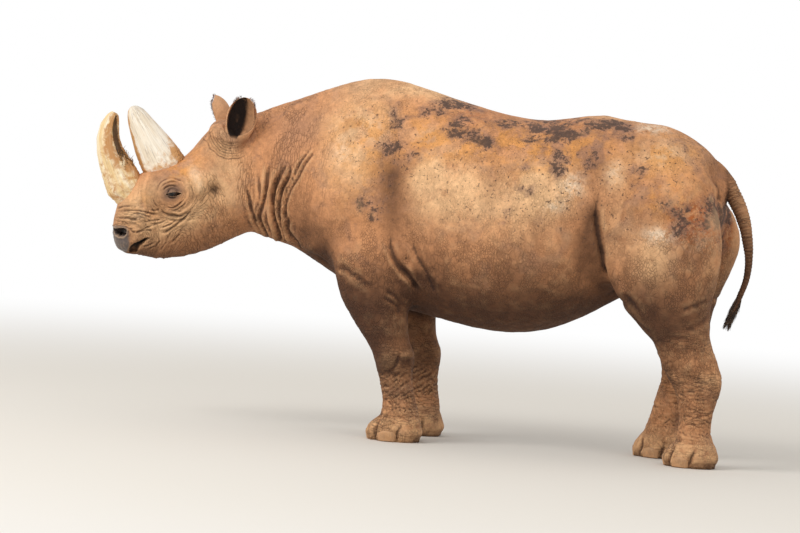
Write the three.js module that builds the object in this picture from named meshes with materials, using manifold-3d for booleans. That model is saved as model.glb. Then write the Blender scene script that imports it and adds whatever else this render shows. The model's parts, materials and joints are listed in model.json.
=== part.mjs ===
// A standing black rhinoceros, life size, in millimetres.
//
// The animal faces -X with its left side towards -Y, and +Z is up. The flesh is lofted as one
// body and then parted with thin cuts into head, neck, trunk, tail and legs. Horns, ears, eyes
// and toenails are pieces of their own, each seated in a socket in the flesh.

import * as THREE from 'three';
import { LoftGeometry } from 'three/addons/geometries/LoftGeometry.js';
import { mergeVertices } from 'three/addons/utils/BufferGeometryUtils.js';
import Module from 'manifold-3d';

const wasm = await Module();
wasm.setup();

// Driving dimensions

const clearance = 0.3; // between neighbouring pieces
const turnStart = - 380; // where the neck begins to bend to the left
const turnRate = 5.4e-4; // sideways travel of the neck, for each millimetre squared
const headTurn = THREE.MathUtils.degToRad( 23 ); // to the left of the trunk's line
const headDip = THREE.MathUtils.degToRad( 30 ); // below level
const headOrigin = new THREE.Vector3( - 669, - 45, 1176 ); // joint of skull and neck
const eyeRadius = 26;
const toeSpread = THREE.MathUtils.degToRad( 67.5 ); // between two toes of one foot
const toeSwell = 0.045; // of the foot's radius
const toeTop = 112; // height at which the toes have faded into the leg
const barrelFullness = 2.1; // of the trunk's lower half, where 2 is an ellipse and more is squarer
const legFullness = 2.2;
const muzzleCrowding = 0.82; // below 1, the head's rings lie closer together near the muzzle

const rings = { trunk: 30, head: 20, tail: 11, horn: 9, ear: 6, nail: 5, eye: 6 };
const sides = { trunk: 24, head: 20, leg: 16, tail: 8, horn: 12, ear: 10, nail: 8, eye: 10 };

// Trunk and neck, at stations along X. Each row: place, height of the back, height of the
// underside, half the width, height of the widest point, fullness of the upper half.

const trunkStations = [
	[ - 780, 1322, 935, 130, 1130, 2.0 ], // inside the head
	[ - 700, 1378, 868, 172, 1120, 1.9 ], // poll and throat
	[ - 600, 1430, 834, 196, 1095, 1.8 ],
	[ - 500, 1470, 810, 222, 1075, 1.7 ], // middle of the neck
	[ - 400, 1512, 756, 252, 1050, 1.7 ],
	[ - 300, 1549, 700, 284, 1030, 1.7 ], // breast
	[ - 200, 1576, 642, 306, 1010, 1.7 ],
	[ - 120, 1584, 606, 318, 995, 1.7 ], // withers
	[ 0, 1566, 574, 330, 975, 1.75 ],
	[ 100, 1538, 553, 346, 955, 1.85 ], // behind the elbow
	[ 200, 1512, 535, 366, 940, 1.95 ],
	[ 300, 1487, 517, 386, 930, 2.05 ],
	[ 400, 1465, 504, 402, 925, 2.1 ],
	[ 500, 1450, 499, 411, 925, 2.15 ], // deepest point of the barrel
	[ 600, 1446, 509, 414, 928, 2.15 ], // hollow of the back
	[ 700, 1460, 536, 408, 938, 2.1 ],
	[ 790, 1480, 573, 392, 955, 2.0 ],
	[ 860, 1487, 611, 366, 975, 1.95 ], // loin
	[ 925, 1481, 652, 334, 1000, 1.9 ], // flank
	[ 1000, 1465, 696, 322, 1030, 1.9 ],
	[ 1086, 1468, 736, 322, 1050, 1.9 ], // croup
	[ 1200, 1441, 786, 316, 1055, 1.9 ],
	[ 1300, 1384, 838, 288, 1060, 1.95 ],
	[ 1362, 1334, 880, 236, 1070, 2.0 ], // root of the tail
	[ 1396, 1274, 940, 166, 1085, 2.0 ],
	[ 1418, 1190, 1000, 84, 1095, 2.0 ] // seat
];

// Head, in its own frame: along the head from skull joint to lip. Each row: place, height of
// the top line, of the under line, half the width, height of the widest point, fullness of the
// upper half, fullness of the lower half.

const headStations = [
	[ - 60, 196, - 238, 120, - 10, 2.0, 2.0 ], // inside the neck
	[ 20, 226, - 262, 148, - 10, 2.0, 2.0 ],
	[ 95, 232, - 272, 160, - 20, 2.1, 2.0 ], // crest between the ears
	[ 180, 206, - 268, 164, - 20, 2.1, 2.1 ], // angle of the jaw
	[ 264, 168, - 265, 160, 10, 2.1, 2.1 ],
	[ 330, 160, - 265, 152, 35, 2.3, 2.0 ], // cheekbone
	[ 400, 172, - 260, 145, 50, 2.4, 1.9 ], // eyes
	[ 460, 186, - 248, 131, 60, 2.5, 1.85 ],
	[ 520, 178, - 230, 113, 50, 2.5, 1.9 ],
	[ 580, 150, - 206, 99, 30, 2.5, 2.0 ], // nasal boss
	[ 632, 114, - 172, 90, 0, 2.4, 2.1 ],
	[ 672, 80, - 136, 83, - 15, 2.2, 2.2 ], // nostrils
	[ 706, 36, - 118, 70, - 30, 2.1, 2.1 ],
	[ 728, - 8, - 104, 48, - 48, 2.0, 2.0 ],
	[ 740, - 42, - 80, 20, - 60, 2.0, 2.0 ] // tip of the hooked lip
];

// Legs, from the sole up into the trunk. Each row: height, place along X, distance from the
// middle plane, half the length, half the width.

const frontLegStations = [
	[ 0, 63, 196, 110, 96 ], // sole
	[ 12, 63, 196, 119, 103 ],
	[ 45, 62, 196, 123, 106 ], // toes
	[ 80, 73, 196, 110, 98 ],
	[ 108, 87, 196, 90, 86 ],
	[ 135, 86, 197, 82, 78 ],
	[ 180, 79, 198, 74, 71 ], // fetlock
	[ 270, 56, 200, 75, 70 ],
	[ 340, 47, 202, 88, 78 ],
	[ 381, 40, 203, 95, 84 ], // knee
	[ 440, 6, 205, 100, 84 ],
	[ 500, - 22, 208, 120, 91 ],
	[ 600, - 56, 213, 152, 104 ], // elbow
	[ 700, - 64, 217, 182, 116 ],
	[ 820, - 73, 217, 195, 122 ],
	[ 960, - 72, 200, 174, 112 ],
	[ 1080, - 60, 160, 110, 74 ] // inside the shoulder
];

const hindLegStations = [
	[ 0, 1363, 172, 108, 92 ], // sole
	[ 12, 1363, 172, 118, 99 ],
	[ 45, 1367, 172, 119, 102 ], // toes
	[ 80, 1376, 173, 105, 94 ],
	[ 108, 1385, 175, 90, 82 ],
	[ 140, 1379, 178, 71, 68 ],
	[ 200, 1381, 182, 73, 62 ], // shank
	[ 254, 1382, 186, 80, 62 ],
	[ 325, 1383, 190, 100, 66 ],
	[ 385, 1366, 193, 125, 71 ], // hock
	[ 460, 1334, 198, 128, 77 ],
	[ 534, 1300, 204, 130, 88 ],
	[ 583, 1268, 208, 152, 98 ],
	[ 642, 1237, 213, 179, 108 ],
	[ 702, 1210, 218, 211, 118 ], // stifle
	[ 836, 1184, 224, 262, 132 ],
	[ 960, 1180, 222, 270, 132 ], // thigh
	[ 1080, 1190, 200, 240, 112 ],
	[ 1180, 1200, 160, 180, 76 ] // inside the hip
];

// How far each leg is moved along X from its table, at heights from the sole up.

const rightFrontShift = [ [ 0, 17 ], [ 108, 12 ], [ 205, 23 ], [ 272, 32 ], [ 406, 36 ], [ 526, 38 ],
	[ 700, 26 ], [ 900, 0 ] ];
const rightHindShift = [ [ 0, - 176 ], [ 60, - 178 ], [ 114, - 190 ], [ 196, - 172 ], [ 295, - 140 ],
	[ 396, - 68 ], [ 482, - 60 ], [ 583, - 54 ], [ 702, - 33 ], [ 836, - 3 ], [ 960, 28 ], [ 1180, 0 ] ];

// Tail, along its centre line. Each row: place along X, height, half the thickness.

const tailStations = [
	[ 1330, 1304, 36 ], // inside the croup
	[ 1394, 1270, 40 ], // root
	[ 1434, 1200, 38 ],
	[ 1476, 1130, 37 ],
	[ 1511, 1048, 32 ],
	[ 1529, 967, 25 ],
	[ 1537, 902, 20 ],
	[ 1533, 820, 17 ],
	[ 1508, 735, 15 ], // brush
	[ 1480, 655, 10 ],
	[ 1466, 613, 4 ] // tip
];

// Horns, in the head's frame. Each row: place along the head, height, half the depth from front
// to back, half the width.

const frontHornStations = [
	[ 572, 100, 74, 66 ], // in the socket
	[ 587, 152, 84, 80 ],
	[ 584, 205, 81, 70 ],
	[ 584, 262, 71, 59 ],
	[ 580, 310, 63, 52 ],
	[ 570, 355, 56, 46 ],
	[ 549, 402, 49, 39 ],
	[ 520, 439, 40, 31 ],
	[ 497, 460, 28, 22 ],
	[ 483, 469, 17, 14 ] // blunt tip
];

const rearHornStations = [
	[ 392, 110, 88, 62 ], // in the socket
	[ 390, 160, 99, 78 ],
	[ 395, 209, 94, 70 ],
	[ 399, 273, 83, 59 ],
	[ 401, 345, 65, 46 ],
	[ 403, 399, 51, 36 ],
	[ 404, 430, 40, 28 ],
	[ 405, 452, 25, 17 ],
	[ 405, 462, 8, 6 ] // tip
];

// Ears, each along its own axis. Each row: distance from the root, offset towards the opening,
// half the depth, half the width.

const earStations = [
	[ - 34, 0, 38, 38 ], // in the socket
	[ 0, 0, 42, 42 ],
	[ 45, 2, 43, 45 ],
	[ 85, 0, 50, 59 ],
	[ 125, - 2, 54, 69 ],
	[ 165, - 4, 52, 70 ],
	[ 205, - 7, 42, 58 ],
	[ 232, - 9, 27, 38 ],
	[ 248, - 10, 11, 16 ] // point
];

// Toenails: half sizes, height of their middle, how far that lies inside the toe, and the width
// of those on the middle and side toes.

const nailSize = { depth: 17, width: 40, height: 28, middle: 36, sunk: 11, middleToe: 1.12, sideToe: 0.92 };

const earWall = 7; // thickness of the ear's edge
const earScoop = 46; // how far the hollow is moved towards the opening
const earFloor = 40; // distance from the root to the bottom of the hollow
const hollowStart = 0.12; // the hollow's width at its bottom, as a share of a quarter turn
const hollowRate = 2.2; // how fast it opens to full width
const hollowFullness = 0.7; // below 1, it opens sooner

// Swellings and hollows: centre, reach along the three axes, height. Each works on both sides.

const trunkSwellings = [
	[ [ - 150, 250, 1290 ], [ 130, 200, 190 ], 20 ], // shoulder blade
	[ [ - 270, 250, 930 ], [ 90, 160, 130 ], 28 ], // point of the shoulder
	[ [ 130, 330, 930 ], [ 80, 160, 260 ], - 16 ], // behind the shoulder
	[ [ 905, 280, 1330 ], [ 75, 120, 80 ], 22 ], // hip bone
	[ [ 940, 330, 1050 ], [ 48, 160, 200 ], - 14 ], // hollow of the flank
	[ [ 1240, 280, 1120 ], [ 150, 160, 160 ], 24 ] // buttock
];

const headSwellings = [
	[ [ 288, 150, 48 ], [ 46, 90, 52 ], 14 ], // arch of the cheekbone
	[ [ 215, 130, 110 ], [ 60, 80, 50 ], - 12 ], // temple
	[ [ 180, 150, - 110 ], [ 80, 90, 90 ], 12 ], // cheek muscle
	[ [ 405, 130, 92 ], [ 50, 60, 24 ], 12 ], // brow
	[ [ 560, 100, - 70 ], [ 70, 80, 60 ], - 8 ], // behind the mouth
	[ [ 694, 80, 10 ], [ 34, 60, 34 ], 9 ], // nostril
	[ [ 590, 110, 110 ], [ 70, 60, 40 ], 8 ], // nasal boss
	[ [ 130, 110, 120 ], [ 50, 50, 50 ], 16 ] // root of the ear
];

// Numbers and frames

function tableReader( rows ) {

	const size = rows[ 0 ].length - 1;
	const places = rows.map( ( row ) => row[ 0 ] );
	const values = rows.flatMap( ( row ) => row.slice( 1 ) );
	return new THREE.CubicInterpolant( places, values, size, new Float32Array( size ) );

}

function fadedShift( rows, height ) {

	const last = rows[ rows.length - 1 ];
	return height >= last[ 0 ] ? last[ 1 ] : tableReader( rows ).evaluate( height )[ 0 ];

}

function spread( first, last, count ) {

	return Array.from( { length: count }, ( _, i ) => THREE.MathUtils.lerp( first, last, i / ( count - 1 ) ) );

}

const signedPower = ( value, power ) => Math.sign( value ) * Math.pow( Math.abs( value ), power );

// One closed outline in the plane of two axes, as offsets [ across, up ] at each angle. Up and
// down have their own reach and fullness, where 2 is an ellipse and more is squarer.

function outline( count, across, up, down, fullUp, fullDown ) {

	return Array.from( { length: count }, ( _, i ) => {

		const angle = 2 * Math.PI * i / count;
		const full = Math.sin( angle ) >= 0 ? fullUp : fullDown;
		const reach = Math.sin( angle ) >= 0 ? up : down;
		return [
			across * signedPower( Math.cos( angle ), 2 / full ),
			reach * signedPower( Math.sin( angle ), 2 / full )
		];

	} );

}

function swell( point, outward, swellings ) {

	let height = 0;

	for ( const [ [ x, y, z ], [ rx, ry, rz ], amount ] of swellings ) {

		const dx = ( point.x - x ) / rx;
		const dy = ( Math.abs( point.y ) - y ) / ry;
		const dz = ( point.z - z ) / rz;
		height += amount * Math.exp( - ( dx * dx + dy * dy + dz * dz ) );

	}

	return point.addScaledVector( outward.normalize(), height );

}

const capped = { capStart: true, capEnd: true };

// Flesh

function trunkAndNeck() {

	const read = tableReader( trunkStations );
	const first = trunkStations[ 0 ][ 0 ];
	const last = trunkStations[ trunkStations.length - 1 ][ 0 ];

	const sections = spread( first, last, rings.trunk ).map( ( x ) => {

		const [ top, bottom, half, wide, full ] = read.evaluate( x );
		const bend = Math.max( 0, turnStart - x );
		const turn = Math.atan( 2 * turnRate * bend );

		const ring = outline( sides.trunk, half, top - wide, wide - bottom, full, barrelFullness );

		return ring.map( ( [ across, up ] ) => {

			const point = new THREE.Vector3( x, across, wide + up );
			swell( point, new THREE.Vector3( 0, across, up ), trunkSwellings );
			const side = point.y;
			point.x += side * Math.sin( turn );
			point.y = side * Math.cos( turn ) - turnRate * bend * bend;
			return point;

		} );

	} );

	return new LoftGeometry( sections, capped );

}

function headShape() {

	const read = tableReader( headStations );
	const first = headStations[ 0 ][ 0 ];
	const last = headStations[ headStations.length - 1 ][ 0 ];

	// rings crowd towards the muzzle, where the shape changes fastest

	const sections = spread( 0, 1, rings.head ).map( ( share ) => {

		const x = THREE.MathUtils.lerp( first, last, Math.pow( share, muzzleCrowding ) );
		const [ top, under, half, wide, fullUp, fullDown ] = read.evaluate( x );

		const ring = outline( sides.head, half, top - wide, wide - under, fullUp, fullDown );

		return ring.map( ( [ across, up ] ) => {

			const point = new THREE.Vector3( x, across, wide + up );
			return swell( point, new THREE.Vector3( 0, across, up ), headSwellings );

		} );

	} );

	return new LoftGeometry( sections, capped );

}

// The foot's outline swells at three toes that point forwards and to both sides.

function toeFactor( angle, height ) {

	const fromFront = Math.abs( Math.abs( angle ) - Math.PI );
	const within = THREE.MathUtils.smoothstep( 1.6 * toeSpread - fromFront, 0, 0.3 * toeSpread );
	const low = 1 - THREE.MathUtils.smoothstep( height, 0.6 * toeTop, toeTop );
	return 1 + toeSwell * within * low * Math.cos( 2 * Math.PI * fromFront / toeSpread );

}

function legPoint( leg, height, angle ) {

	const [ x, out, length, width ] = tableReader( leg.stations ).evaluate( height );
	const shift = leg.shift ? fadedShift( leg.shift, height ) : 0;
	const toes = toeFactor( Math.atan2( Math.sin( angle ), Math.cos( angle ) ), height );
	const across = length * toes * signedPower( Math.cos( angle ), 2 / legFullness );
	const along = width * toes * signedPower( Math.sin( angle ), 2 / legFullness );
	return new THREE.Vector3( x + shift + across, leg.side * ( out + leg.spread ) + along, height );

}

function legShape( leg ) {

	const heights = leg.stations.map( ( row ) => row[ 0 ] );

	const sections = heights.map( ( height ) => Array.from( { length: sides.leg }, ( _, i ) => {

		return legPoint( leg, height, 2 * Math.PI * i / sides.leg );

	} ) );

	return new LoftGeometry( sections, capped );

}

// A loft of ellipses along a bent centre line in the plane of X and Z. Rows hold X, Z, half
// the depth in that plane and half the width across it.

function bentLoft( rows, ringCount, sideCount, grow = 0 ) {

	const path = new THREE.CatmullRomCurve3( rows.map( ( [ x, z ] ) => new THREE.Vector3( x, 0, z ) ) );
	const sizes = tableReader( rows.map( ( row, i ) => [ i / ( rows.length - 1 ), ...row.slice( 2 ) ] ) );
	const across = new THREE.Vector3( 0, 1, 0 );

	const sections = spread( 0, 1, ringCount ).map( ( share ) => {

		const [ depth, width = depth ] = sizes.evaluate( share );
		const centre = path.getPoint( share );
		const along = path.getTangent( share );
		const inPlane = new THREE.Vector3().crossVectors( along, across );

		if ( grow > 0 && share === 0 ) centre.addScaledVector( along, - grow );
		if ( grow > 0 && share === 1 ) centre.addScaledVector( along, grow );

		return outline( sideCount, width + grow, depth + grow, depth + grow, 2, 2 ).map( ( [ a, b ] ) => {

			return centre.clone().addScaledVector( across, a ).addScaledVector( inPlane, b );

		} );

	} );

	return new LoftGeometry( sections, capped );

}

const tailShape = () => bentLoft( tailStations, rings.tail, sides.tail );

// Horns and ears

const frontHornShape = ( grow ) => bentLoft( frontHornStations, rings.horn, sides.horn, grow );

const rearHornShape = ( grow ) => bentLoft( rearHornStations, rings.horn, sides.horn, grow );

function earLoft( rows, grow ) {

	const sections = rows.map( ( [ height, offset, depth, width ], i ) => {

		const end = i === 0 ? - grow : i === rows.length - 1 ? grow : 0;

		return outline( sides.ear, depth + grow, width + grow, width + grow, 2, 2 ).map( ( [ a, b ] ) => {

			return new THREE.Vector3( offset + a, b, height + end );

		} );

	} );

	return new LoftGeometry( sections, capped );

}

// The hollow of the ear is its own outline made thinner by the wall and moved forwards, so that
// it opens along the whole front and leaves a cupped leaf.

function earHollow() {

	const read = tableReader( earStations );
	const tip = earStations[ earStations.length - 1 ][ 0 ];

	return earLoft( spread( 0, 1, rings.ear ).map( ( share ) => {

		const height = THREE.MathUtils.lerp( earFloor, tip + earWall, share );
		const [ offset, depth, width ] = read.evaluate( Math.min( height, tip ) );
		const turn = Math.PI / 2 * Math.min( 1, hollowStart + hollowRate * share );
		const opening = Math.pow( Math.sin( turn ), hollowFullness );
		const scoop = earScoop * opening;
		return [ height, offset + scoop, ( depth - earWall ) * opening + scoop, ( width - earWall ) * opening ];

	} ), 0 );

}

// Places an ear in the head's frame: its root, the way its axis points and the way it opens.

function earMatrix( { root, axis, facing } ) {

	const up = new THREE.Vector3( ...axis ).normalize();
	const front = new THREE.Vector3( ...facing );
	front.addScaledVector( up, - front.dot( up ) ).normalize();
	const side = new THREE.Vector3().crossVectors( up, front );
	return new THREE.Matrix4().makeBasis( front, side, up ).setPosition( ...root );

}

// Toenails

function nailShape( grow ) {

	const { depth, width, height } = nailSize;
	const ball = new THREE.SphereGeometry( 1, sides.nail, rings.nail );
	return ball.scale( depth + grow, width + grow, height + grow );

}

function nailMatrix( leg, toe ) {

	const angle = Math.PI + toe * toeSpread;
	const onToe = legPoint( leg, nailSize.middle, angle );
	const inward = legPoint( leg, nailSize.middle, angle + Math.PI ).sub( onToe ).normalize();
	const outward = inward.clone().negate();
	const up = new THREE.Vector3( 0, 0, 1 );
	const side = new THREE.Vector3().crossVectors( up, outward ).normalize();
	const place = onToe.addScaledVector( inward, nailSize.sunk );
	const scale = toe === 0 ? nailSize.middleToe : nailSize.sideToe;
	return new THREE.Matrix4().makeBasis( outward, side, up )
		.scale( new THREE.Vector3( 1, scale, 1 ) ).setPosition( place );

}

// Booleans

function solid( geometry, matrix = new THREE.Matrix4() ) {

	const shape = new THREE.BufferGeometry().copy( geometry ).applyMatrix4( matrix );
	shape.deleteAttribute( 'normal' );
	shape.deleteAttribute( 'uv' );
	const merged = mergeVertices( shape, 1e-3 );
	return new wasm.Manifold( new wasm.Mesh( {
		numProp: 3,
		vertProperties: new Float32Array( merged.attributes.position.array ),
		triVerts: new Uint32Array( merged.index.array )
	} ) );

}

function toGeometry( manifold ) {

	const { vertProperties, triVerts } = manifold.getMesh();
	const geometry = new THREE.BufferGeometry();
	geometry.setAttribute( 'position', new THREE.BufferAttribute( vertProperties, 3 ) );
	geometry.setIndex( new THREE.BufferAttribute( triVerts, 1 ) );
	geometry.computeVertexNormals();
	return geometry;

}

// A slab that takes in one region of the body: corners in the plane of X and Z, the two sides
// it lies between, and a turn about an upright axis. Growing it moves its faces outwards.

function slab( { corners, sides: [ left, right ], turn = 0, pivot = [ 0, 0, 0 ] }, grow = 0 ) {

	const points = corners.map( ( [ x, z ] ) => new THREE.Vector2( x, z ) );
	const middle = new THREE.Vector2();
	for ( const point of points ) middle.addScaledVector( point, 1 / points.length );

	for ( const point of points ) {

		const outward = point.clone().sub( middle );
		point.addScaledVector( outward, 2 * grow / outward.length() );

	}

	const geometry = new THREE.ExtrudeGeometry( new THREE.Shape( points ), {
		depth: right - left + 2 * grow,
		bevelEnabled: false
	} );
	geometry.rotateX( Math.PI / 2 ).translate( 0, right + grow, 0 );

	const matrix = new THREE.Matrix4().makeTranslation( ...pivot )
		.multiply( new THREE.Matrix4().makeRotationZ( turn ) )
		.multiply( new THREE.Matrix4().makeTranslation( ...pivot.map( ( value ) => - value ) ) );
	return solid( geometry, matrix );

}

// Splits a body into what lies in a region and what is left, with the clearance between them.

function split( body, region ) {

	return [ body.intersect( slab( region ) ), body.subtract( slab( region, clearance ) ) ];

}

const legs = [
	{ name: 'front_left', side: - 1, spread: 0, stations: frontLegStations },
	{ name: 'front_right', side: 1, spread: 0, stations: frontLegStations, shift: rightFrontShift },
	{ name: 'hind_left', side: - 1, spread: 0, stations: hindLegStations },
	{ name: 'hind_right', side: 1, spread: - 14, stations: hindLegStations, shift: rightHindShift }
];

const headMatrix = new THREE.Matrix4().makeTranslation( headOrigin )
	.multiply( new THREE.Matrix4().makeRotationZ( Math.PI + headTurn ) )
	.multiply( new THREE.Matrix4().makeRotationY( headDip ) );

const ears = [
	{ name: 'ear_left', root: [ 106, 110, 90 ], axis: [ - 0.59, 0.19, 0.79 ], facing: [ 0.65, 0.66, 0.38 ] },
	{ name: 'ear_right', root: [ 68, - 108, 96 ], axis: [ - 0.12, - 0.14, 0.98 ], facing: [ 0.95, - 0.28, 0.2 ] }
];

const eyePlaces = [
	{ name: 'eye_left', place: [ 423, 124, 50 ] },
	{ name: 'eye_right', place: [ 423, - 124, 50 ] }
];

// Regions that part the body, as corners in the plane of X and Z. They reach well past the skin
// where nothing else is near, and those of the legs start at the inner side of the leg.

const headRegion = {
	corners: [ [ - 1700, 0 ], [ - 1700, 2000 ], [ - 676, 2000 ], [ - 676, 0 ] ],
	sides: [ - 700, 700 ],
	turn: 0.3,
	pivot: [ - 676, - 45, 0 ]
};

const neckRegion = {
	corners: [ [ - 1500, 500 ], [ - 1500, 1700 ], [ - 326, 1700 ], [ - 350, 1560 ], [ - 485, 760 ],
		[ - 530, 500 ] ],
	sides: [ - 700, 700 ]
};

const tailRegion = {
	corners: [ [ 1362, 1345 ], [ 1422, 1160 ], [ 1425, 1095 ], [ 1456, 1035 ], [ 1490, 930 ], [ 1440, 560 ],
		[ 1700, 560 ], [ 1700, 1345 ] ],
	sides: [ - 58, 58 ]
};

const legRegions = {
	front: {
		corners: [ [ - 420, - 50 ], [ 260, - 50 ], [ 260, 420 ], [ 150, 592 ], [ - 330, 770 ], [ - 420, 700 ] ],
		inner: 80
	},
	hind: {
		corners: [ [ 1000, - 50 ], [ 1620, - 50 ], [ 1620, 400 ], [ 1520, 870 ], [ 905, 640 ], [ 905, 400 ] ],
		inner: 45
	}
};

// Materials

const skin = ( color ) => new THREE.MeshStandardMaterial( { color, roughness: 0.85, metalness: 0 } );
const hide = () => skin( 0x9c7858 );
const keratin = () => new THREE.MeshStandardMaterial( { color: 0xe6d3ac, roughness: 0.6, metalness: 0 } );
const nail = () => new THREE.MeshStandardMaterial( { color: 0x7d6a5a, roughness: 0.7, metalness: 0 } );
const wetEye = () => new THREE.MeshStandardMaterial( { color: 0x17110e, roughness: 0.12, metalness: 0 } );

function piece( name, geometry, material ) {

	const mesh = new THREE.Mesh( geometry, material );
	mesh.name = name;
	return mesh;

}

// Assembly

function buildFlesh() {

	let body = solid( trunkAndNeck() ).add( solid( headShape(), headMatrix ) ).add( solid( tailShape() ) );
	for ( const leg of legs ) body = body.add( solid( legShape( leg ) ) );

	const pieces = {};
	[ pieces.head, body ] = split( body, headRegion );
	[ pieces.neck, body ] = split( body, neckRegion );
	[ pieces.tail, body ] = split( body, tailRegion );

	for ( const leg of legs ) {

		const { corners, inner } = legRegions[ leg.name.split( '_' )[ 0 ] ];
		const across = leg.side < 0 ? [ - 700, - inner ] : [ inner, 700 ];
		[ pieces[ 'leg_' + leg.name ], body ] = split( body, { corners, sides: across } );

	}

	pieces.trunk = body;
	return pieces;

}

function buildModel() {

	const model = new THREE.Group();
	const headGroup = new THREE.Group();
	headGroup.applyMatrix4( headMatrix );
	const flesh = buildFlesh();

	const inHead = ( matrix ) => headMatrix.clone().multiply( matrix );

	for ( const [ name, shape ] of [ [ 'horn_front', frontHornShape ], [ 'horn_rear', rearHornShape ] ] ) {

		headGroup.add( piece( name, shape( 0 ), keratin() ) );
		flesh.head = flesh.head.subtract( solid( shape( clearance ), headMatrix ) );

	}

	for ( const ear of ears ) {

		const matrix = earMatrix( ear );
		const leaf = solid( earLoft( earStations, 0 ), matrix ).subtract( solid( earHollow(), matrix ) );
		headGroup.add( piece( ear.name, toGeometry( leaf ), hide() ) );
		flesh.head = flesh.head.subtract( solid( earLoft( earStations, clearance ), inHead( matrix ) ) );

	}

	for ( const { name, place } of eyePlaces ) {

		const ball = piece( name, new THREE.SphereGeometry( eyeRadius, sides.eye, rings.eye ), wetEye() );
		ball.position.set( ...place );
		headGroup.add( ball );
		const socket = new THREE.SphereGeometry( eyeRadius + clearance, sides.eye, rings.eye );
		flesh.head = flesh.head.subtract( solid( socket, inHead( new THREE.Matrix4().setPosition( ...place ) ) ) );

	}

	for ( const leg of legs ) {

		for ( const toe of [ - 1, 0, 1 ] ) {

			const matrix = nailMatrix( leg, toe );
			const name = 'nail_' + leg.name + '_' + ( toe + 2 );
			model.add( piece( name, nailShape( 0 ).applyMatrix4( matrix ), nail() ) );
			const foot = 'leg_' + leg.name;
			flesh[ foot ] = flesh[ foot ].subtract( solid( nailShape( clearance ), matrix ) );

		}

	}

	for ( const name in flesh ) model.add( piece( name, toGeometry( flesh[ name ] ), hide() ) );

	model.add( headGroup );
	return model;

}

// The origin is under the middle of the animal, on the ground.

const model = buildModel();
const box = new THREE.Box3().setFromObject( model, true );
const middle = box.getCenter( new THREE.Vector3() );
model.position.set( - middle.x, - middle.y, - box.min.z );

export default model;
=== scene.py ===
import itertools
import json
import math
from functools import partial

import bmesh
import bpy
import numpy as np
from mathutils import Matrix, Vector
from mathutils.bvhtree import BVHTree

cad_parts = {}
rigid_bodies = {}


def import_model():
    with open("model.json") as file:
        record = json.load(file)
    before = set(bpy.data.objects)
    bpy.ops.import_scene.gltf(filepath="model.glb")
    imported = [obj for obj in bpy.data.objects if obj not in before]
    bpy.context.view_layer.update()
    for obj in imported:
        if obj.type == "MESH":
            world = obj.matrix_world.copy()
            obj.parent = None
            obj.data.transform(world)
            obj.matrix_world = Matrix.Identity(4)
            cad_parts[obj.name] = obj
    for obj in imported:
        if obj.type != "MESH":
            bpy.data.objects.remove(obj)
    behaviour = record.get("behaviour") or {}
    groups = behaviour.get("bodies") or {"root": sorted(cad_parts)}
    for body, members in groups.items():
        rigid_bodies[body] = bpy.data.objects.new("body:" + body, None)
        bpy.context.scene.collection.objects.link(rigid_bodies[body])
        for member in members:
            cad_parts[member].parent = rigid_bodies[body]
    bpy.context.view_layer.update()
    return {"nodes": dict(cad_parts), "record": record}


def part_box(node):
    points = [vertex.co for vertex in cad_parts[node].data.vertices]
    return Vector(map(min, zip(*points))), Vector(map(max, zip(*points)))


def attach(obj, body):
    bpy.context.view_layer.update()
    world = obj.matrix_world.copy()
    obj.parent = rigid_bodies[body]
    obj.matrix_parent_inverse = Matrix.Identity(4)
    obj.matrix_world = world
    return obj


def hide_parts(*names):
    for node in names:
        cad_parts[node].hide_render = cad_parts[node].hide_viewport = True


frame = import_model()

mm = 0.001
upright = np.array([0.0, 0.0, 1.0])

# The head has a frame of its own: a towards the nose, b up the forehead, c to either side. Lines on
# the head are drawn in a and b, and lines on the body in x and z, all in millimetres.

headPose = {"turn": 23, "dip": 30, "eye": (423, 124, 50)}


def middleOf(node):
    low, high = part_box(node)
    return (low + high) / 2


headTurn = (Matrix.Rotation(math.pi + math.radians(headPose["turn"]), 3, "Z")
            @ Matrix.Rotation(math.radians(headPose["dip"]), 3, "Y"))
headAxes = np.array(headTurn)  # columns: forward, animal's left or right, up
eyeA, eyeC, eyeB = headPose["eye"]
betweenEyes = (middleOf("eye_left") + middleOf("eye_right")) / 2
headJoint = np.array(betweenEyes) - headAxes @ np.array([eyeA, 0, eyeB]) * mm


def toHead(points):
    return (points - headJoint) @ headAxes / mm


def fromHead(points):
    return np.asarray(points, float) * mm @ headAxes.T + headJoint


def step(low, high, value):
    share = np.clip((value - low) / (high - low), 0, 1)
    return share * share * (3 - 2 * share)


def bell(points, middle, reach):
    # 1 at the middle, dying away over the reach
    return np.exp(-(((points - middle) / reach) ** 2).sum(1))


def mirrored(points):
    # the other side's points moved over to this one
    return np.stack([points[:, 0], np.abs(points[:, 1]), points[:, 2]], 1)


def noiseField(points, size, seed):
    # smooth and random, between -1 and 1, with lumps about size across
    cells = points / size
    base = np.floor(cells).astype(np.int64)
    part = cells - base
    ease = part * part * (3 - 2 * part)
    total = np.zeros(len(points))
    for corner in itertools.product((0, 1), repeat=points.shape[1]):
        at = base + np.array(corner)
        mixed = np.full(len(points), seed * 668265263, np.int64)
        for axis, prime in zip(range(points.shape[1]), (73856093, 19349663, 83492791)):
            mixed ^= at[:, axis] * prime
        mixed &= 0xffffffff
        mixed = ((mixed ^ (mixed >> 13)) * 1274126177) & 0xffffffff
        value = ((mixed ^ (mixed >> 16)) & 0xffff) / 32767.5 - 1
        weight = np.prod(np.where(np.array(corner) == 1, ease, 1 - ease), axis=1)
        total += weight * value
    return total


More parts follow.
